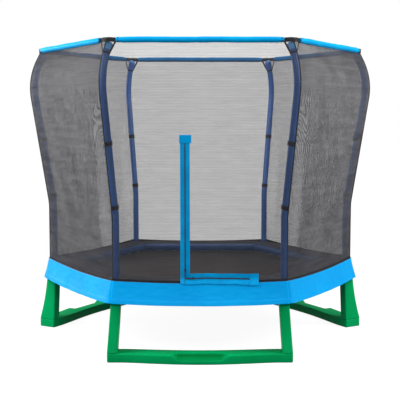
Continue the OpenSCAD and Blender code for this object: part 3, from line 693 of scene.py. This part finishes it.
def sleeve_place(seed):
    def place(u, v):
        z = FOAM_LOW + (FOAM_HIGH - FOAM_LOW) * v
        out, tilt = pole_at(z)
        turn = u * math.tau
        radius = FOAM
        if z < GATHER_TOP:
            share = (z - FOAM_LOW) / (GATHER_TOP - FOAM_LOW)
            radius *= 0.66 + 0.34 * math.sin(math.pi / 2 * share)
        for strap in STRAP_HEIGHTS:
            radius -= 0.0012 * math.exp(-((z - strap) / 0.014) ** 2)
        inside = 0.5 - 0.5 * math.cos(turn)
        crease = 0.0008 * inside * math.sin(z * 260 + 2 * math.sin(z * 31 + seed))
        radius += crease * (1 if z > LEAN_Z1 - 0.05 or 0.8 < z < 0.95 else 0.25)
        radius += 0.0007 * wave(math.cos(turn) * 0.05, math.sin(turn) * 0.05, z + seed, 0.05)
        radius += 0.0009 * math.exp(-((turn - 2.2) / 0.14) ** 2)  # the sleeve's seam
        across = Vector((math.cos(tilt), 0, -math.sin(tilt)))
        point = Vector((out, 0, z)) + across * (radius * math.cos(turn))
        point.y += radius * math.sin(turn)
        return point
    return place


for corner, name in enumerate(CORNERS):
    bm = shaped_grid(28, 190, sleeve_place(3.1 * corner), form="tube")
    turn_to_corner(bm, corner)
    piece = place_piece(bm, "pole_sleeve_" + name, foam_sleeve, crease=60)
    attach(piece, "frame")
    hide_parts("foam_sleeve_" + name)

# ---- Pole caps ----
# Round caps moulded in bright blue plastic push over the foam at each pole's end. They have a flat
# crown, a rolled shoulder and a bead round the rim. Their inner half is navy.

# Radius and height along the pole, from the rim over the crown
CAP_SECTION = [
    (0.0215, -0.0300), (0.0240, -0.0300), (0.0247, -0.0285), (0.0247, -0.0265),
    (0.0240, -0.0250), (0.0240, 0.0060), (0.0237, 0.0120), (0.0222, 0.0172),
    (0.0192, 0.0212), (0.0150, 0.0234), (0.0090, 0.0240), (0.0, 0.0241),
]
CAP_WALL = 0.0012
CAP_NAVY_FROM = 0.003  # the cap is navy from here inwards

cap_plastic = new_finish("cap_plastic", rough=0.28)
patches(cap_plastic, "Base Color", 20.0, linear(96, 180, 250), linear(118, 196, 255))
relief(cap_plastic, 700, 0.12, 0.0003)

for corner, name in enumerate(CORNERS):
    bm = bmesh.new()
    points = [bm.verts.new((r, 0, z)) for r, z in CAP_SECTION]
    edges = [bm.edges.new(pair) for pair in zip(points, points[1:])]
    bmesh.ops.spin(
        bm, geom=points + edges, cent=(0, 0, 0), axis=(0, 0, 1), angle=2 * math.pi, steps=40,
        use_merge=True,
    )
    bmesh.ops.remove_doubles(bm, verts=bm.verts, dist=1e-6)
    bmesh.ops.recalc_face_normals(bm, faces=bm.faces)
    bmesh.ops.solidify(bm, geom=bm.faces[:], thickness=CAP_WALL)
    for face in bm.faces:
        face.material_index = 1 if face.calc_center_median().x < CAP_NAVY_FROM else 0
    pose = Matrix.Translation((POLE_END_R, 0, POLE_END_Z)) @ Matrix.Rotation(CROOK_END, 4, "Y")
    bmesh.ops.transform(bm, matrix=pose, verts=bm.verts)
    turn_to_corner(bm, corner)
    piece = place_piece(bm, "pole_cap_" + name, cap_plastic, foam_sleeve, crease=45)
    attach(piece, "frame")
    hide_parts("pole_caps")

# ---- Net ----
# Six panels of black knitted polyester stand outside the poles, sewn to each other at the
# corners. Pillar stitches run up the cloth. The door is a triangle cut from the front panel.

NET_BASE = 0.4936
NET_KNEE = 1.6
NET_TOP = 1.9335
NET_OFF = 0.029
NET_FLAT = 0.77  # the share of a panel's width that hangs straight between its ends
COURSE_PITCH = 0.009
RIB_PITCH = 0.003
RIB_WIDE = 0.00024
RIB_DEEP = 0.00072
RIB_STEPS = 24
RIB_DRIFT = 0.12  # of a stitch to either side of its even place, in pitches
# The door is under the line from the top of one zip to the end of the other
ZIP_X = -0.09
ZIP_END = 0.352
ZIP_LOW = 0.5105
ZIP_HIGH = 1.3791


def net_at_pole(z):
    return pole_at(z)[0] * math.cos(HALF) + NET_OFF


NET_SLOPE = (net_at_pole(NET_KNEE) - net_at_pole(NET_BASE)) / (NET_KNEE - NET_BASE)


def net_out(u, z):
    """Distance from the middle to the net, from one edge at -1 to the other at 1."""
    straight = net_at_pole(min(z, NET_BASE)) + (z - NET_BASE) * NET_SLOPE
    if z > NET_KNEE:
        straight = net_at_pole(z)
    return straight + (net_at_pole(z) - straight) * smooth((abs(u) - NET_FLAT) / (1 - NET_FLAT))


def net_place(side):
    seed = 2.9 * side

    def place(u, v):
        span = 2 * u - 1
        z = NET_BASE + (NET_TOP - NET_BASE) * v
        x = span * (net_at_pole(z) * math.tan(HALF) - 0.0005)
        loose = min(1.0, 6 * (1 - abs(span))) * min(1.0, 8 * v) * min(1.0, 8 * (1 - v))
        folds = 0.004 * wave(0.6 * x + 0.8 * z, 0.35 * (z - x), seed, 0.12)
        folds += 0.003 * wave(x, 0.4 * z, seed + 9, 0.25)
        sag = EDGE_SAG * (1 - span * span) * max(0.0, 1 - 12 * v) ** 2
        return (x, -net_out(span, z) - loose * folds, z - sag)
    return place


# The cloth covers a share of what lies behind it, more along its courses and in streaks.
net_mesh = new_finish("net_mesh", linear(64, 63, 67), 0.65, specular=0.25)
coords = add_node(net_mesh, "TexCoord", output="UV")
values = {"Scale": WAVE_LONG / COURSE_PITCH, "Distortion": 3.0, "Detail": 2.0, "Detail Scale": 0.6}
courses = add_node(
    net_mesh, "TexWave", {"Vector": coords, **values}, "Fac",
    wave_type="BANDS", bands_direction="Y",
)
drawn = add_node(net_mesh, "Mapping", {"Vector": coords, "Scale": (0.4, 2.4, 1.0)})
values = {"Vector": drawn, "Scale": 14.0, "Detail": 5.0, "Distortion": 0.8}
streaks = add_node(net_mesh, "TexNoise", values)
cover = add_node(net_mesh, "MapRange", {"Value": courses, "To Min": 0.215, "To Max": 0.345})
values = {"From Min": 0.3, "From Max": 0.7, "To Min": -0.025, "To Max": 0.03}
more_cover = add_node(net_mesh, "MapRange", {"Value": streaks, **values})
total = add_node(net_mesh, "Math", {0: cover, 1: more_cover}, operation="ADD")
feed(net_mesh, surface_of(net_mesh), {"Alpha": total})

net_yarn = new_finish("net_yarn", rough=0.65, specular=0.25)
patches(
    net_yarn, "Base Color", 11.0, linear(82, 81, 85), linear(112, 111, 116), (0.3, 0.3, 2.2), 5.0
)


def cut_door(bm, keep):
    """Cuts a front panel along the door's three edges and keeps the door, or the rest."""
    slant = Vector((ZIP_HIGH - ZIP_LOW, 0, ZIP_END - ZIP_X)).normalized()
    cuts = [
        (Vector((ZIP_X, 0, 0)), Vector((-1, 0, 0))),
        (Vector((0, 0, ZIP_LOW)), Vector((0, 0, -1))),
        (Vector((ZIP_X, 0, ZIP_HIGH)), slant),
    ]
    for point, normal in cuts:
        bmesh.ops.bisect_plane(
            bm, geom=bm.verts[:] + bm.edges[:] + bm.faces[:], plane_co=point, plane_no=normal,
            dist=1e-6,
        )
    wrong = []
    for face in bm.faces:
        centre = face.calc_center_median()
        inside = all((centre - point).dot(normal) < 0 for point, normal in cuts)
        if inside != keep:
            wrong.append(face)
    bmesh.ops.delete(bm, geom=wrong, context="FACES")


def net_ribs(side):
    """Pillar stitches: narrow strips up the panel."""
    wide = 2 * net_at_pole(NET_KNEE) * math.tan(HALF)
    count = int(wide / RIB_PITCH)
    hang = net_place(side)

    def place(u, v):
        column = round(u * (2 * count - 1))
        uneven = RIB_DRIFT * noise.cell(Vector((column // 2, 2.9 * side, 0.5)))
        x, y, z = hang((column // 2 + 0.5 + uneven) / count, v)
        return (x + (RIB_WIDE if column % 2 else -RIB_WIDE) / 2, y, z)

    bm = shaped_grid(2 * count - 1, RIB_STEPS, place)
    widest = 1.6 * RIB_WIDE * (NET_TOP - NET_BASE) / RIB_STEPS
    gaps = [f for f in bm.faces if f.calc_area() > widest]
    bmesh.ops.delete(bm, geom=gaps, context="FACES")
    return bm


def net_cloth(side, door=None):
    """A panel and its stitches: whole, or only the door, or only what is left without it."""
    panel, ribs = shaped_grid(48, 40, net_place(side), metres(1.1, 1.43)), net_ribs(side)
    if door is not None:
        cut_door(panel, door)
        cut_door(ribs, door)
    bmesh.ops.solidify(ribs, geom=ribs.faces[:], thickness=RIB_DEEP)
    bmesh.ops.translate(ribs, verts=ribs.verts, vec=(0, -RIB_DEEP / 2, 0))
    bmesh.ops.recalc_face_normals(ribs, faces=ribs.faces)
    turn_to_side(ribs, side)
    turn_to_side(panel, side)
    return panel, ribs


for side, name in enumerate(SIDES):
    cloth, ribs = net_cloth(side, None if side else False)
    stitches = place_piece(ribs, "net_stitches_" + name, net_yarn)
    panel = place_piece(cloth, "net_panel_" + name, net_mesh, crease=80)
    for piece in (stitches, panel):
        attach(piece, "frame")
    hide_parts("net_" + name)

cloth, ribs = net_cloth(0, True)
door = place_piece(cloth, "door_net", net_mesh, crease=80)
stitches = place_piece(ribs, "door_stitches", net_yarn)
for piece in (door, stitches):
    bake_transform(piece)
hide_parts("door_flap")

# ---- Net edges ----
# Black woven tape, folded and sewn over the net's lower edge as a hem. The same tape binds
# the seams where two panels meet at a pole.

HEM_HIGH = 0.012
HEM_HALF = 0.0019  # of its thickness
SEAM_WIDE = 0.009
SEAM_HALF = 0.0022

for side, name in enumerate(SIDES):
    hang = net_place(side)

    def hem_place(u, v):
        turn = v * math.tau
        x, y, z = hang(u, (0.5 + 0.5 * math.sin(turn)) * HEM_HIGH / (NET_TOP - NET_BASE))
        return (x, y - HEM_HALF * math.cos(turn), z)

    bm = shaped_grid(64, 10, hem_place, form="tube")
    turn_to_side(bm, side)
    piece = place_piece(bm, "net_hem_" + name, webbing, crease=60)
    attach(piece, "frame")

for corner, name in enumerate(CORNERS):
    def seam_place(u, v):
        turn = u * math.tau
        z = NET_BASE + 0.002 + (NET_TOP - NET_BASE - 0.004) * v
        out = net_at_pole(z) / math.cos(HALF) + 0.0012
        edge = 1 + 0.12 * wave(0, z, corner, 0.03)
        return (out + SEAM_HALF * math.cos(turn), SEAM_WIDE / 2 * edge * math.sin(turn), z)

    bm = shaped_grid(10, 90, seam_place, form="tube")
    turn_to_corner(bm, corner)
    piece = place_piece(bm, "net_seam_" + name, webbing, crease=60)
    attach(piece, "frame")

# ---- Top band ----
# A padded sleeve in light-blue cloth wraps the net's upper edge on each side. Its inner half is
# darker, with painted shade. It is gathered at its two ends, where black webbing carries on round
# the pole.

BAND_Z = POLE_END_Z + 0.035
BAND_OUT = net_at_pole(POLE_END_Z)
BAND_HALF = BAND_OUT * math.tan(HALF) - 0.064
BAND_RADIUS = 0.0185
INNER_SHADE_EDGE = 0.004  # the painted shade starts this far in from the band's axis

band_cloth = new_finish("band_cloth", rough=0.5, specular=0.05)
patches(band_cloth, "Base Color", 6.0, linear(0, 162, 232), linear(0, 180, 246), detail=5.0)
# painted shade: a darker blue for the band's inner half
band_inner_shade = new_finish("band_inner_shade", rough=0.6, specular=0.15)
patches(band_inner_shade, "Base Color", 6.0, linear(0, 92, 144), linear(0, 110, 168), detail=5.0)
for material in (band_cloth, band_inner_shade):
    woven(material, 0.0016, 0.15, 0.0004, "UV")


def band_place(seed):
    def place(u, v):
        turn = v * math.tau
        span = 2 * u - 1
        x = span * BAND_HALF
        end = max(0.0, (abs(span) - 0.8) / 0.2)
        radius = BAND_RADIUS * (0.96 + 0.05 * wave(x, math.cos(turn) * 0.03, seed, 0.06))
        radius += 0.0012 * end * math.sin(7 * turn + 3 * math.sin(90 * x)) - 0.0035 * end ** 3
        radius += 0.0009 * wave(x * 2, turn * 0.05, seed + 4, 0.02)
        y = radius * math.cos(turn)
        z = radius * math.sin(turn)
        if z < 0:  # the lower half narrows down to the net
            y *= 1 - 0.35 * (-z / BAND_RADIUS) ** 2
        return (x, -BAND_OUT + y, BAND_Z + z + 0.002 * wave(x, 1, seed, 0.2))
    return place


for side, name in enumerate(SIDES):
    bm = shaped_grid(150, 32, band_place(4.3 * side), metres(0.96, 0.1), "tube")
    for face in bm.faces:
        face.material_index = 1 if face.calc_center_median().y > INNER_SHADE_EDGE - BAND_OUT else 0
    turn_to_side(bm, side)
    piece = place_piece(bm, "top_band_" + name, band_cloth, band_inner_shade, crease=60)
    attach(piece, "frame")
    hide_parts("top_band")

# ---- Top webbing ----
# Wide black webbing runs from band to band round the outside of each pole's end. Two narrow
# straps tie it down to a loop round the pole, just below the cap.

WEB_HIGH = 0.027
WEB_THICK = 0.002
WEB_OUT = 0.029  # from the pole's end to the webbing
WEB_ARM = 0.064
WEB_LIFT = 0.0135  # over the end of the band
TIE_WIDE = 0.011
TIE_THICK = 0.0016
TIE_Z = BAND_Z - 0.080
TIE_RADIUS = 0.0224


def add_mesh(bm, other, pose=Matrix.Identity(4)):
    """Joins another bmesh to one, put in place."""
    bmesh.ops.transform(other, matrix=pose, verts=other.verts)
    spare = bpy.data.meshes.new("spare")
    other.to_mesh(spare)
    other.free()
    bm.from_mesh(spare)
    bpy.data.meshes.remove(spare)


def at_lean(height):
    """The pose of a piece round the pole."""
    out, tilt = pole_at(height)
    return Matrix.Translation((out, 0, height)) @ Matrix.Rotation(tilt, 4, "Y")


def squared(value, power):
    """A sine or cosine pushed towards 1 or -1, to make a round section nearly square."""
    value = round(value, 12)  # so that the seam closes
    return math.copysign(abs(value) ** power, value)


def flat_round(v, wide, thick, power=0.3):
    """A point round a flat strap's section: across it, and out of it."""
    turn = v * math.tau
    across = squared(math.cos(turn), power) * wide / 2
    return across, squared(math.sin(turn), power) * thick / 2


def beside_pole(out, along, hand, z):
    """A point by distances out from the pole's end and along the side of one hand."""
    return Vector((
        POLE_END_R + out * math.cos(HALF) - along * math.sin(HALF),
        hand * (out * math.sin(HALF) + along * math.cos(HALF)),
        z,
    ))


def web_place(u, v):
    across, out = flat_round(v, WEB_HIGH, WEB_THICK)
    arc = WEB_OUT * HALF
    way = abs(2 * u - 1) * (arc + WEB_ARM)
    hand = 1 if u > 0.5 else -1
    z = BAND_Z + across + 0.0012 * math.sin(70 * way)
    if way < arc:
        turn = hand * way / WEB_OUT
        reach = WEB_OUT + out
        return (POLE_END_R + reach * math.cos(turn), reach * math.sin(turn), z)
    along = way - arc
    lift = WEB_LIFT * smooth((along - 0.045) / 0.016)
    return beside_pole(WEB_OUT + lift + out, along, hand, z)


def tie_place(hand):
    out_of_side = Vector((math.cos(HALF), hand * math.sin(HALF), 0))
    start = beside_pole(0.0262, 0.048, hand, BAND_Z - 0.005)
    end = Vector((pole_at(TIE_Z)[0], hand * TIE_RADIUS, TIE_Z))
    way = (end - start).normalized()
    side_way = way.cross(out_of_side).normalized()
    face_way = side_way.cross(way).normalized()

    def place(u, v):
        across, out = flat_round(v, TIE_WIDE, TIE_THICK)
        return start.lerp(end, u) + side_way * across + face_way * out
    return place


def loop_place(u, v):
    across, out = flat_round(v, TIE_WIDE, TIE_THICK)
    turn = u * math.tau
    reach = TIE_RADIUS - 0.0002 + out
    return (reach * math.cos(turn), reach * math.sin(turn), across)


for corner, name in enumerate(CORNERS):
    bm = shaped_grid(90, 16, web_place, form="tube")
    for hand in (-1, 1):
        add_mesh(bm, shaped_grid(12, 16, tie_place(hand), form="tube"))
    add_mesh(bm, shaped_grid(48, 16, loop_place, form="ring"), at_lean(TIE_Z))
    turn_to_corner(bm, corner)
    piece = place_piece(bm, "top_webbing_" + name, webbing, crease=50)
    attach(piece, "frame")
    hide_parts("top_webbing")

# ---- Pole straps and buckles ----
# Two black straps round each pole hold the net's seam to it. Each is pulled to a point at
# the seam and closed by a flat plastic buckle on the side that faces the mat.

STRAP_WIDE = 0.025
STRAP_THICK = 0.002
STRAP_RADIUS = 0.0223  # to the middle of the strap's thickness
STRAP_TIP = 0.0305
STRAP_POINT = 0.752  # half the turn over which the strap leaves the pole
BUCKLE_XS = (-0.015, -0.0125, 0.0125, 0.015)
BUCKLE_YS = (-0.015, -0.0115, -0.0035, 0.0035, 0.0115, 0.015)
BUCKLE_THICK = 0.0052
BUCKLE_EDGE = 0.0011

buckle_plastic = new_finish("buckle_plastic", linear(34, 35, 38))
patches(buckle_plastic, "Roughness", 80.0, grey(0.34), grey(0.5))


def strap_place(u, v):
    turn = (u - 0.5) * 2 * math.pi  # from the side that faces the mat, round by the seam
    out, rise = flat_round(v, STRAP_THICK, STRAP_WIDE, 0.25)
    reach = STRAP_RADIUS
    if abs(turn) < STRAP_POINT:
        reach = min(STRAP_RADIUS / math.cos(STRAP_POINT - abs(turn)), STRAP_TIP)
    reach += out
    sag = 0.0008 * math.sin(3 * turn)
    return (reach * math.cos(turn), reach * math.sin(turn), rise + sag)


def ease(bm, edges, width):
    bmesh.ops.bevel(
        bm, geom=edges, offset=width, segments=2, profile=0.5, affect="EDGES",
        clamp_overlap=True, material=-1,
    )


def buckle():
    """A flat frame with two slots and a bar between them, laid round the strap."""
    bm = shaped_grid(3, 5, lambda u, v: (BUCKLE_XS[round(3 * u)], BUCKLE_YS[round(5 * v)], 0))
    slots = []
    for face in bm.faces:
        x, y, z = face.calc_center_median()
        if abs(x) < BUCKLE_XS[2] and BUCKLE_YS[3] < abs(y) < BUCKLE_YS[4]:
            slots.append(face)
    bmesh.ops.delete(bm, geom=slots, context="FACES")
    bmesh.ops.recalc_face_normals(bm, faces=bm.faces)
    bmesh.ops.solidify(bm, geom=bm.faces[:], thickness=BUCKLE_THICK)
    bmesh.ops.recalc_face_normals(bm, faces=bm.faces)
    steep = math.radians(30)
    ease(bm, [e for e in bm.edges if e.is_manifold and e.calc_face_angle() > steep], BUCKLE_EDGE)
    low = min(v.co.z for v in bm.verts)
    for vert in bm.verts:
        bow = STRAP_RADIUS + 0.0016 + (vert.co.z - low)
        turn = vert.co.y / (STRAP_RADIUS + 0.006)
        vert.co = (-bow * math.cos(turn), bow * math.sin(turn), vert.co.x)
    return bm


for corner, name in enumerate(CORNERS):
    straps, buckles = bmesh.new(), bmesh.new()
    for height in STRAP_HEIGHTS:
        add_mesh(straps, shaped_grid(72, 16, strap_place, form="ring"), at_lean(height))
        add_mesh(buckles, buckle(), at_lean(height))
    turn_to_corner(straps, corner)
    turn_to_corner(buckles, corner)
    piece = place_piece(straps, "pole_strap_" + name, webbing, crease=50)
    clip = place_piece(buckles, "strap_buckle_" + name, buckle_plastic, crease=40)
    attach(piece, "frame")
    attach(clip, "frame")
    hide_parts("pole_straps")
    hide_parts("strap_buckles")

# ---- Door zips ----
# An upright and a level zip between light-blue tapes, with black coil teeth. A square patch
# closes the far end of each. The level zip's lower tape hangs over the skirt's edge.

TAPE_WIDE = 0.029
TAPE_OUT = 0.0024  # from the net's inner face to the tape
TAPE_EDGE = 0.003  # from the zip's line to the tape
PATCH_OUT = TAPE_OUT + 0.0026
PATCH_THICK = 0.0016
CORD_OUT = TAPE_OUT + 0.0002
CORD_EDGE = 0.0038  # from the zip's line to the far side of the cord under its teeth
TEETH_OUT = 0.0042
TEETH_PITCH = 0.0032
TEETH_SIDE = 0.0014  # from the zip's line to the middle of a tooth
TOOTH = (0.0019, 0.0030, 0.0017)  # along the zip, across it and out of the net
GAP = 0.0004  # from the zip's line to either half
DOOR_SHORT = 0.018  # the door's half ends this much before the other
ZIP_BASE = 0.017  # from the net's foot up the net to the level zip
ZIP_TOP = 0.889
NET_TILT = math.atan(NET_SLOPE)
DOOR_BASE = Vector((0, -net_at_pole(NET_BASE), NET_BASE))
UP_THE_NET = Vector((0, -math.sin(NET_TILT), math.cos(NET_TILT)))
OUT_OF_NET = Vector((0, -math.cos(NET_TILT), -math.sin(NET_TILT)))

zip_tape = new_finish("zip_tape", rough=0.55, specular=0.06)
patches(zip_tape, "Base Color", 12.0, linear(0, 150, 218), linear(0, 170, 238), detail=5.0)
woven(zip_tape, 0.0014, 0.2, 0.0004, "UV")
zip_black = new_finish("zip_black", linear(20, 22, 28), 0.5)
relief(zip_black, 900, 0.3, 0.0004)


def on_net(x, up, out):
    """A point on the front net, wavy along the level zip and clear of the skirt's edge."""
    low = max(0.0, 1 - up / 0.12)
    wavy = 0.0022 * math.sin(14 * x + 0.6) + 0.0011 * math.sin(37 * x)
    spot = DOOR_BASE + Vector((x, 0, 0)) + UP_THE_NET * (up + low * (wavy - 0.004))
    spot += OUT_OF_NET * out
    level = SKIRT_TOP - EDGE_SAG * (1 - min(1.0, abs(x) / SKIRT_HALF) ** 2)
    lowness = smooth((level + 0.016 - spot.z) / 0.013)
    clear = SKIRT_TOP_OUT + 0.0048 + 0.27 * max(0.0, level - spot.z) + out - TAPE_OUT
    spot.y -= lowness * max(0.0, clear + spot.y)
    return spot


def add_strip(bm, x0, x1, y0, y1, out, thick=0.0013):
    """A strip of tape on the front net, with rounded edges."""
    length = max(abs(x1 - x0), abs(y1 - y0))

    def place(u, v):
        turn = v * math.tau
        share = 0.5 - 0.5 * squared(math.cos(turn), 0.35)
        lift = out + thick * (0.5 + 0.5 * squared(math.sin(turn), 0.6))
        if abs(x1 - x0) > abs(y1 - y0):
            return on_net(x0 + (x1 - x0) * u, y0 + (y1 - y0) * share, lift)
        return on_net(x0 + (x1 - x0) * share, y0 + (y1 - y0) * u, lift)

    steps = max(4, int(length / 0.012))
    add_mesh(bm, shaped_grid(steps, 20, place, metres(length, 0.06), "tube"))


def add_teeth(bm, start, end, side_way):
    """Coil teeth along one half of a zip, from start to end across the net."""
    line = (end - start).normalized()
    length = (end - start).length
    count = int(length / TEETH_PITCH)
    for n in range(count):
        middle = start + line * (length * (n + 0.5) / count) + side_way * TEETH_SIDE
        spot = on_net(middle.x, middle.y, TEETH_OUT)
        ahead = middle + 0.001 * line
        along = (on_net(ahead.x, ahead.y, TEETH_OUT) - spot).normalized()
        across = along.cross(OUT_OF_NET).normalized()
        tooth = Matrix([way * size for way, size in zip((along, across, OUT_OF_NET), TOOTH)])
        pose = Matrix.Translation(spot) @ tooth.transposed().to_4x4()
        bmesh.ops.create_cube(bm, size=1, matrix=pose)


CROSSING = Vector((ZIP_X, ZIP_BASE, 0))
UPRIGHT_LAST = Vector((ZIP_X, ZIP_TOP - 0.044, 0))
LEVEL_LAST = Vector((ZIP_END - 0.045, ZIP_BASE, 0))
FIXED_STRIPS = [
    (ZIP_X - GAP - TAPE_WIDE, ZIP_X - GAP - TAPE_EDGE, -0.012, ZIP_TOP, TAPE_OUT),
    (ZIP_X - GAP, ZIP_END, ZIP_BASE - TAPE_EDGE, ZIP_BASE - 0.034, TAPE_OUT),
    (ZIP_X - 0.034, ZIP_X + 0.038, ZIP_TOP + 0.004, ZIP_TOP - 0.046, PATCH_OUT, PATCH_THICK),
    (ZIP_END - 0.05, ZIP_END + 0.006, ZIP_BASE + 0.031, ZIP_BASE - 0.036, PATCH_OUT, PATCH_THICK),
]
DOOR_TOP, DOOR_END = ZIP_TOP - DOOR_SHORT, ZIP_END - DOOR_SHORT
MOVING_STRIPS = [
    (ZIP_X + GAP + TAPE_EDGE, ZIP_X + TAPE_WIDE, ZIP_BASE + TAPE_EDGE, DOOR_TOP, TAPE_OUT),
    (ZIP_X + GAP, DOOR_END, ZIP_BASE + TAPE_EDGE, ZIP_BASE + TAPE_WIDE, TAPE_OUT),
]

for half, hand, top, end, node, strips in (
    ("fixed", -1, ZIP_TOP, ZIP_END, "zip_tape_frame", FIXED_STRIPS),
    ("moving", 1, DOOR_TOP, DOOR_END, "zip_tape_door", MOVING_STRIPS),
):
    tapes, teeth = bmesh.new(), bmesh.new()
    for strip in strips:
        add_strip(tapes, *strip)
    add_teeth(teeth, CROSSING, UPRIGHT_LAST, Vector((hand, 0, 0)))
    add_teeth(teeth, CROSSING, LEVEL_LAST, Vector((0, hand, 0)))
    near, far = hand * GAP, hand * CORD_EDGE
    left, right = sorted((ZIP_X + near, ZIP_X + far))
    add_strip(teeth, left, right, ZIP_BASE, top, CORD_OUT)
    add_strip(teeth, ZIP_X + near, end, ZIP_BASE + near, ZIP_BASE + far, CORD_OUT)
    tape = place_piece(tapes, "zip_tape_" + half, zip_tape, crease=50)
    row = place_piece(teeth, "zip_teeth_" + half, zip_black, crease=40)
    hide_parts(node)
    for piece in (tape, row):
        if half == "fixed":
            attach(piece, "frame")
        else:
            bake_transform(piece)

# ---- Zip sliders ----
# Two die-cast sliders in black enamel, one on each zip, run along its teeth. Each has a
# plate, a bridge over it, and a long pull that hangs from the bridge by a link.

# Centre, size and eased edge of each block, by its place across, along and out of the zip
SLIDER_BLOCKS = [
    ((0, 0, 0.0062), (0.012, 0.016, 0.0016), 0.0006),  # plate
    ((0, 0, 0.0052), (0.003, 0.013, 0.002), 0.0004),  # runner
    ((0, -0.0052, 0.0078), (0.0034, 0.0022, 0.0028), 0.0004),  # feet of the bridge
    ((0, 0.0042, 0.0078), (0.0034, 0.0022, 0.0028), 0.0004),
    ((0, -0.0005, 0.0095), (0.0034, 0.0118, 0.0012), 0.0004),  # bridge
    ((0, -0.010, 0.0081), (0.0066, 0.0165, 0.0012), 0.0005),  # link
    ((0, -0.0285, 0.0081), (0.0078, 0.0215, 0.0016), 0.0007),  # pull
]
SLIDER_START = 0.048  # from the crossing of the zips, at rest

slider_black = new_finish("slider_black", linear(40, 42, 48), metal=0.4)
patches(slider_black, "Roughness", 90.0, grey(0.22), grey(0.4))

for body, turn, x, up in (
    ("zip_slider_upright", 0, ZIP_X, ZIP_BASE + SLIDER_START),
    ("zip_slider_level", -90, ZIP_X + SLIDER_START, ZIP_BASE),
):
    bm = bmesh.new()
    for centre, size, edge in SLIDER_BLOCKS:
        block = bmesh.new()
        pose = Matrix.Translation(centre) @ Matrix.Diagonal((*size, 1))
        bmesh.ops.create_cube(block, size=1, matrix=pose)
        ease(block, block.edges[:], edge)
        add_mesh(bm, block)
    net_axes = Matrix((Vector((1, 0, 0)), UP_THE_NET, OUT_OF_NET)).transposed().to_4x4()
    pose = Matrix.Translation(DOOR_BASE) @ net_axes @ Matrix.Translation((x, up - 0.0015, 0))
    pose = pose @ Matrix.Rotation(math.radians(turn), 4, "Z")
    bmesh.ops.transform(bm, matrix=pose, verts=bm.verts)
    piece = place_piece(bm, body + "_metal", slider_black, crease=40)
    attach(piece, body)
    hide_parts(body)

# ---- Studio ----
# A pale floor that keeps a faint shadow, two large soft lamps at the sides, weaker ones in
# front, above and behind on the left, and a camera at standing height.


def either(owner, one, other):
    """Whether a ray is of one kind or the other."""
    return add_node(owner, "Math", {0: one, 1: other}, operation="MAXIMUM")


# The camera and reflections see a lit floor that fades to white. Other light meets a grey one.
floor_white = bpy.data.materials.new("floor_white")
floor_white.use_nodes = True
floor_white.node_tree.nodes.remove(surface_of(floor_white))
bounce = add_node(floor_white, "BsdfDiffuse", {"Color": grey(0.2)})
lit = add_node(floor_white, "Emission", {"Color": grey(1.0), "Strength": 0.93})
plain = add_node(floor_white, "Emission", {"Color": grey(1.0), "Strength": 1.0})
shadowed = add_node(floor_white, "AddShader", {0: bounce, 1: lit})
spot = add_node(floor_white, "TexCoord", output="Object")
away = add_node(floor_white, "VectorMath", {0: spot}, "Value", operation="LENGTH")
fade = add_node(
    floor_white, "MapRange", {"Value": away, "From Min": 1.4, "From Max": 3.2},
    interpolation_type="SMOOTHSTEP",
)
faded = add_node(floor_white, "MixShader", {0: fade, 1: shadowed, 2: plain})
rays = add_node(floor_white, "LightPath").node.outputs
sharp = either(floor_white, rays["Is Camera Ray"], rays["Is Glossy Ray"])
sharp = either(floor_white, sharp, rays["Is Transmission Ray"])
chosen = add_node(floor_white, "MixShader", {0: sharp, 1: bounce, 2: faded})
feed(floor_white, floor_white.node_tree.nodes["Material Output"], {"Surface": chosen})
bm = bmesh.new()
bmesh.ops.create_circle(bm, cap_ends=True, segments=96, radius=14)
floor = place_piece(bm, "floor", floor_white)

# The world lights the piece dimly, and is white where the camera looks past it.
world = bpy.data.worlds.new("studio")
bpy.context.scene.world = world
world.use_nodes = True
dim = world.node_tree.nodes["Background"]
feed(world, dim, {"Color": grey(1.0), "Strength": 0.24})
white = add_node(world, "Background", {"Color": grey(1.0), "Strength": 1.0})
rays = add_node(world, "LightPath").node.outputs
seen = either(world, rays["Is Camera Ray"], rays["Is Transmission Ray"])
sky = add_node(world, "MixShader", {0: seen, 1: dim.outputs[0], 2: white})
feed(world, world.node_tree.nodes["World Output"], {"Surface": sky})

for name, spot, aim, size, watts in (
    ("left_softbox", (-4.4, -1.6, 3.4), (-0.3, 0, 0.8), (2.4, 2.4), 222),
    ("right_softbox", (4.5, -1.5, 3.4), (0.3, 0, 0.8), (2.4, 2.4), 200),
    ("front_softbox", (0.0, -6.0, 4.4), (0, 0, 0.8), (3.0, 1.6), 124),
    ("top_softbox", (0.0, 0.8, 5.2), (0, 0, 0.5), (3.2, 3.2), 76),
    ("rear_left_softbox", (-4.6, 2.6, 2.0), (-0.6, 0, 1.0), (2.0, 2.0), 84),
):
    light = bpy.data.lights.new(name, "AREA")
    light.shape = "RECTANGLE"
    light.size, light.size_y = size
    light.energy = watts
    lamp = bpy.data.objects.new(name, light)
    lamp.location = spot
    lamp.rotation_mode = "QUATERNION"
    lamp.rotation_quaternion = (Vector(aim) - Vector(spot)).to_track_quat("-Z", "Y")
    bpy.context.scene.collection.objects.link(lamp)

camera = bpy.data.cameras.new("camera")
camera.lens = 83.04
camera.sensor_width = 36
viewer = bpy.data.objects.new("camera", camera)
viewer.location = (0.0, -6.49, 1.489)
viewer.rotation_euler = (math.radians(90 - 5.15), 0, 0)
bpy.context.scene.collection.objects.link(viewer)
bpy.context.scene.camera = viewer
bpy.context.scene.view_settings.view_transform = "Standard"
